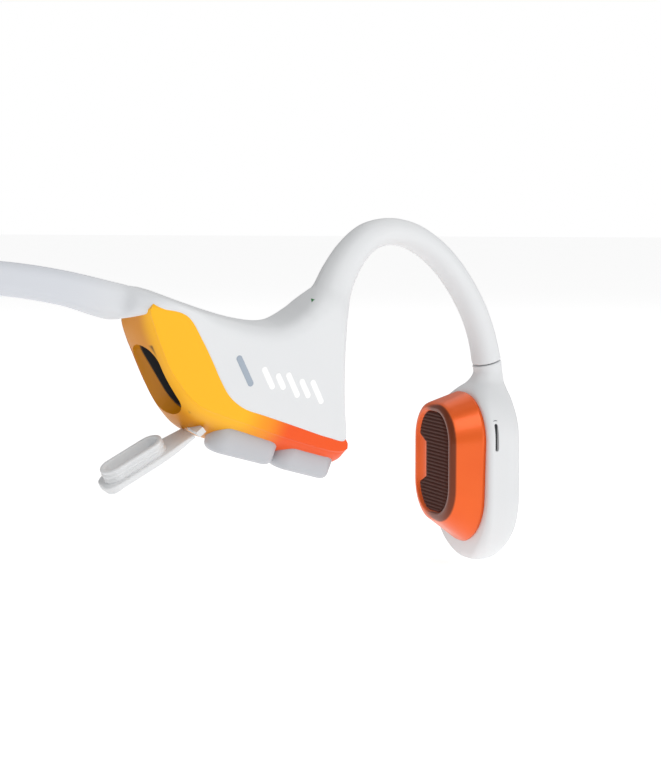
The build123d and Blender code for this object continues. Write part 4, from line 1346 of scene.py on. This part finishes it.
class GradedShell(Finish):
    """Coloured shell: yellow behind, orange in front and below, with a satin clear coat; painted shade darkens the
    rear wall and the port's recess.
    """

    sided = True

    def __init__(self, layout: Layout) -> None:
        """Keeps the pod's frame."""
        super().__init__()
        self.pod, self.port = layout.pod, layout.port

    def recess(self, maker: Maker) -> Sock:
        """Mask of painted shade: 1 on the walls of the port's recess, below the wall, and within its length and width.
        """
        along, across, off = (maker.along(self.port.origin, axis) for axis in self.port.axes)
        inside = maker.step(along.math("ABSOLUTE", along, 0.0), 7.2, 6.7) * maker.step(
            across.math("ABSOLUTE", across, 0.0), 3.5, 3.1
        )
        return inside * maker.step(off, -0.1, -0.45)

    def make(self, side: Side) -> bpy.types.Material:
        """Colour by distance along the pod plus a part of the depth below its face.

        t = u - 0.35 v; yellow under t = 2, orange over t = 9, both with a slow variation; painted shade
        darkens the yellow towards the head side, on the slanted rear wall, and the walls of the port's recess.
        """
        maker = Maker(f"{side.word}_graded_shell")
        centre = mirrored(self.pod.origin, side)
        u = maker.along(centre, mirrored(self.pod.axes[0], side))
        v = maker.along(centre, mirrored(self.pod.axes[1], side))
        w = maker.along(centre, mirrored(self.pod.axes[2], side))
        slow = maker.noise(60.0, 1.0)
        fine = maker.noise(9000.0, 2.0)
        t = u + v * -0.3 + slow * 0.8
        # Painted shade: the yellow darkens from (250, 182, 10) to (208, 132, 4) towards the head side, on the slanted
        # rear wall where shade falls.
        yellow = maker.blend(maker.step(w, 4.4, 1.0), colour(250, 182, 10), colour(208, 132, 4))
        middle = maker.blend(maker.step(t, -1.0, 5.0), yellow, colour(244, 146, 8))
        if side is Side.RIGHT:
            # Painted shade: the walls of the port's recess are painted dark brown (66, 44, 8), where shade falls in
            # the hollow.
            middle = maker.blend(self.recess(maker), middle, colour(66, 44, 8))
        front = maker.blend(maker.step(t, 4.0, 9.5), middle, colour(238, 82, 4))
        return maker.finish(
            Base_Color=front, Roughness=fine * 0.05 + 0.34, Coat_Weight=0.08, Coat_Roughness=0.25,
            Specular_IOR_Level=0.3, Normal=maker.bump(fine, 0.0015),
        )


class CopperCap(Finish):
    """Orange metallic lacquer: orange on the tapered sides, with painted shade on the face in a deep brown-orange."""

    sided = True

    def __init__(self, layout: Layout) -> None:
        """Keeps the driver's frame."""
        super().__init__()
        self.driver = layout.driver

    def make(self, side: Side) -> bpy.types.Material:
        """Colour by depth under the face, which gets painted shade; a fine flake noise varies roughness and bump."""
        maker = Maker(f"{side.word}_copper_cap")
        centre = mirrored(self.driver.origin, side)
        w = maker.along(centre, mirrored(self.driver.axes[2], side))
        flake = maker.noise(14000.0, 1.0)
        slow = maker.noise(120.0, 1.0)
        sides = maker.blend(slow, colour(243, 104, 34), colour(232, 92, 24))
        # Painted shade: the face is painted a deep brown-orange, darker than the orange sides.
        face = maker.blend(flake, colour(122, 52, 14), colour(104, 42, 10))
        return maker.finish(
            Base_Color=maker.blend(maker.step(w, -0.45, -0.08), sides, face),
            Metallic=0.35, Specular_IOR_Level=0.35, Roughness=flake * 0.08 + 0.3, Coat_Weight=0.2, Coat_Roughness=0.15,
            Normal=maker.bump(flake, 0.0015),
        )


class WhiteSkin(Finish):
    """Matt white silicone and shell: a very fine grain, faintly cool, with painted shade that greys the band behind
    the pods.
    """

    sided = True

    def __init__(self, layout: Layout, name: str = "white_skin", greyer: bool = True) -> None:
        """Keeps the pod's frame and whether painted shade greys the band's part."""
        super().__init__()
        self.pod, self.name, self.greyer = layout.pod, name, greyer

    def make(self, side: Side) -> bpy.types.Material:
        """Base white, mixed towards a cooler grey as painted shade as y falls behind the pods; grain in bump and
        roughness.
        """
        maker = Maker(f"{side.word}_{self.name}")
        fine = maker.noise(7000.0, 2.0)
        slow = maker.noise(70.0, 1.0)
        base = maker.blend(slow, colour(224, 225, 226), colour(219, 221, 223))
        if self.greyer:
            # Painted shade: the band behind the pods is mixed towards a cooler grey (205, 208, 214), standing in for
            # the shade it lies in.
            behind = maker.along(self.pod.origin, np.array([0.0, -1.0, 0.0]))
            base = maker.blend(maker.step(behind, 14.0, 34.0), base, colour(205, 208, 214))
        return maker.finish(
            Base_Color=base, Roughness=fine * 0.07 + 0.46, Specular_IOR_Level=0.4,
            Sheen_Weight=0.06, Sheen_Roughness=0.5, Normal=maker.bump(fine, 0.003),
        )


class Dressing:
    """Materials of the CAD nodes that stay, by the record's material slots."""

    def __init__(self, white: Finish, graded: Finish, cap: Finish, rubber: Finish, keys: Finish, lens: Finish) -> None:
        """Takes the finishes of the new pieces and adds those of the inner parts."""
        self.finishes: dict[str, Finish] = {
            "white_silicone": white, "white_shell": white, "orange_shell": graded, "copper_cap": cap,
            "pad_rubber": rubber, "grey_key": keys, "light_guide": lens,
            "dark_nylon": Plain("dark_nylon", (40, 41, 45), 0.5, 5000.0, 0.006),
            "dark_rubber": Plain("dark_rubber", (52, 36, 22), 0.62, 5000.0, 0.008),
            "titanium": Plain("titanium", (168, 166, 162), 0.3, 3000.0, 0.003, metal=1.0, stretch=(1, 1, 0.1)),
            "cable_jacket": Plain("cable_jacket", (34, 35, 38), 0.55, 4000.0, 0.005),
            "copper_wire": Plain("copper_wire", (196, 112, 66), 0.3, 5000.0, 0.004, metal=1.0, stretch=(0.1, 1, 1)),
            "steel": Plain("steel", (176, 178, 182), 0.28, 4000.0, 0.002, metal=1.0, stretch=(1, 0.2, 1)),
            "nickel": Plain("nickel", (205, 203, 198), 0.2, 4000.0, 0.001, metal=1.0),
            "dark_mesh": Plain("dark_mesh", (58, 60, 64), 0.5, 9000.0, 0.02, metal=0.4),
            "board": Board(),
            "chip": Plain("chip", (30, 31, 33), 0.42, 7000.0, 0.003),
            "pouch": Plain("pouch", (198, 200, 204), 0.34, 700.0, 0.03, metal=0.8),
            "foam": Plain("foam", (46, 46, 50), 0.9, 2500.0, 0.06, vary=0.2),
        }

    def dress(self, frame: dict[str, Any]) -> None:
        """Dresses every CAD node.
        """
        for part in frame["record"]["subparts"]:
            node = frame["nodes"][part["node"]]
            side = Side.LEFT if part["node"].startswith("left") or part["node"].startswith("multi") else Side.RIGHT
            self.finishes[part["material_slot"]].dress(node, side)
        LOG.info("dressed %d CAD nodes", len(frame["nodes"]))


# ---- Studio ------------------------------------------------------------------------------------------
@dataclass
class Studio:
    """White room, soft light and the camera behind the wearer's right side."""

    layout: Layout
    azimuth: float = 27.0
    elevation: float = 5.0
    distance: float = 330.0
    aim: tuple[float, float, float] = (12.74, 6.39, -1.08)
    lens: float = 91.03
    room: float = 0.36

    def build(self) -> None:
        """Sets floor, world, lights and camera."""
        target = self.layout.pod.origin + np.array(self.aim) * MM
        self.add_camera(target)
        self.add_floor()
        self.add_world()
        self.add_light("key_light", target, (62.0, 50.0), 0.8, 0.5, 2.4)
        self.add_light("front_light", target, (100.0, 10.0), 0.9, 0.5, 1.1)
        self.add_light("rear_light", target, (30.0, 25.0), 1.0, 0.4, 0.35)
        self.add_light("back_light", target, (190.0, 50.0), 0.9, 0.7, 1.2)

    def direction(self, azimuth: float, elevation: float) -> Array:
        """Unit vector from the target, 0 azimuth behind the wearer, positive towards the wearer's right."""
        a, e = math.radians(azimuth), math.radians(elevation)
        return np.array([math.sin(a) * math.cos(e), -math.cos(a) * math.cos(e), math.sin(e)])

    def aimed(self, thing: bpy.types.Object, place: Array, target: Array) -> None:
        """Puts a camera or light at a place, looking at the target."""
        thing.location = Vector(place)
        thing.rotation_euler = (Vector(target) - Vector(place)).to_track_quat("-Z", "Y").to_euler()
        bpy.context.scene.collection.objects.link(thing)

    def add_camera(self, target: Array) -> None:
        """Adds the camera."""
        data = bpy.data.cameras.new("camera")
        data.lens, data.sensor_width, data.sensor_fit = self.lens, 36.0, "AUTO"
        data.clip_start, data.clip_end = 0.01, 20.0
        camera = bpy.data.objects.new("camera", data)
        self.aimed(camera, target + self.direction(self.azimuth, self.elevation) * self.distance * MM, target)
        bpy.context.scene.camera = camera

    def add_light(
        self, name: str, target: Array, where: tuple[float, float], away: float, size: float, power: float
    ) -> None:
        """Adds a square soft light aimed at the target.

        Args:
            name: Name of the light.
            target: Point it looks at.
            where: Azimuth and elevation in degrees.
            away: Distance in metres.
            size: Edge of the square in metres.
            power: Watts.
        """
        data = bpy.data.lights.new(name, "AREA")
        data.shape, data.size, data.energy = "SQUARE", size, power
        self.aimed(bpy.data.objects.new(name, data), target + self.direction(*where) * away, target)

    def add_world(self) -> None:
        """White surroundings, seen as plain white and softer as a light."""
        world = bpy.data.worlds.new("studio")
        world.use_nodes = True
        tree = world.node_tree
        background = tree.nodes["Background"]
        background.inputs["Color"].default_value = (1.0, 1.0, 1.0, 1.0)
        path = tree.nodes.new("ShaderNodeLightPath")
        share = tree.nodes.new("ShaderNodeMapRange")
        share.inputs["To Min"].default_value, share.inputs["To Max"].default_value = self.room, 1.0
        tree.links.new(path.outputs["Is Camera Ray"], share.inputs["Value"])
        tree.links.new(share.outputs[0], background.inputs["Strength"])
        bpy.context.scene.world = world
        bpy.context.scene.view_settings.view_transform = "Standard"

    def add_floor(self) -> None:
        """Large pale floor just under the object."""
        size, level = 6.0, -0.0005
        mesh = bpy.data.meshes.new("floor")
        corners = [(-size, -size, level), (size, -size, level), (size, size, level), (-size, size, level)]
        mesh.from_pydata(corners, [], [(0, 1, 2, 3)])
        floor = bpy.data.objects.new("floor", mesh)
        bpy.context.scene.collection.objects.link(floor)
        maker = Maker("pale_floor")
        slow = maker.noise(3.0, 2.0)
        mesh.materials.append(
            maker.finish(
                Base_Color=maker.blend(slow, (0.62, 0.62, 0.62, 1.0), (0.6, 0.6, 0.6, 1.0)),
                Roughness=0.9, Emission_Color=(1.0, 1.0, 1.0, 1.0), Emission_Strength=0.72,
            )
        )
        floor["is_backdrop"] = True


# ---- Main --------------------------------------------------------------------------------------------
def corners() -> list[list[float]]:
    """The whole object's box as plain lists."""
    return [[float(c) for c in corner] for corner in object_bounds()]


def main() -> None:
    """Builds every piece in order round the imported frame."""
    logging.basicConfig(level=logging.INFO, format="%(name)s: %(message)s")
    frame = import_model()
    layout = Layout.read(frame)
    white, graded, cap = WhiteSkin(layout), GradedShell(layout), CopperCap(layout)
    shell = WhiteSkin(layout, "white_shell", greyer=False)
    ribbed = Plain("ribbed_rubber", (72, 26, 8), 0.55, 6000.0, 0.004, vary=0.12, specular=0.15)
    keys = Plain("grey_keys", (190, 192, 197), 0.36, 7000.0, 0.003, vary=0.02)
    lens = Plain("light_lens", (158, 170, 184), 0.25, 3000.0, 0.001, vary=0.04, coat=0.5)
    print_finish = Plain("white_print", (250, 250, 250), 0.5, 6000.0, 0.002, vary=0.01)
    Dressing(white, graded, cap, ribbed, keys, lens).dress(frame)
    Studio(layout).build()
    WhiteBody(layout).build(white)
    ColourShell(layout).build(graded)
    DriverFront(layout).build(cap, ribbed)
    Keys(layout).build(keys)
    FaceMarks(layout).build(lens, print_finish)
    PortFlap(layout).build(frame, shell)
    MultiButton(layout).build(shell)
    LOG.info("all pieces built")


if __name__ == "__main__":
    main()
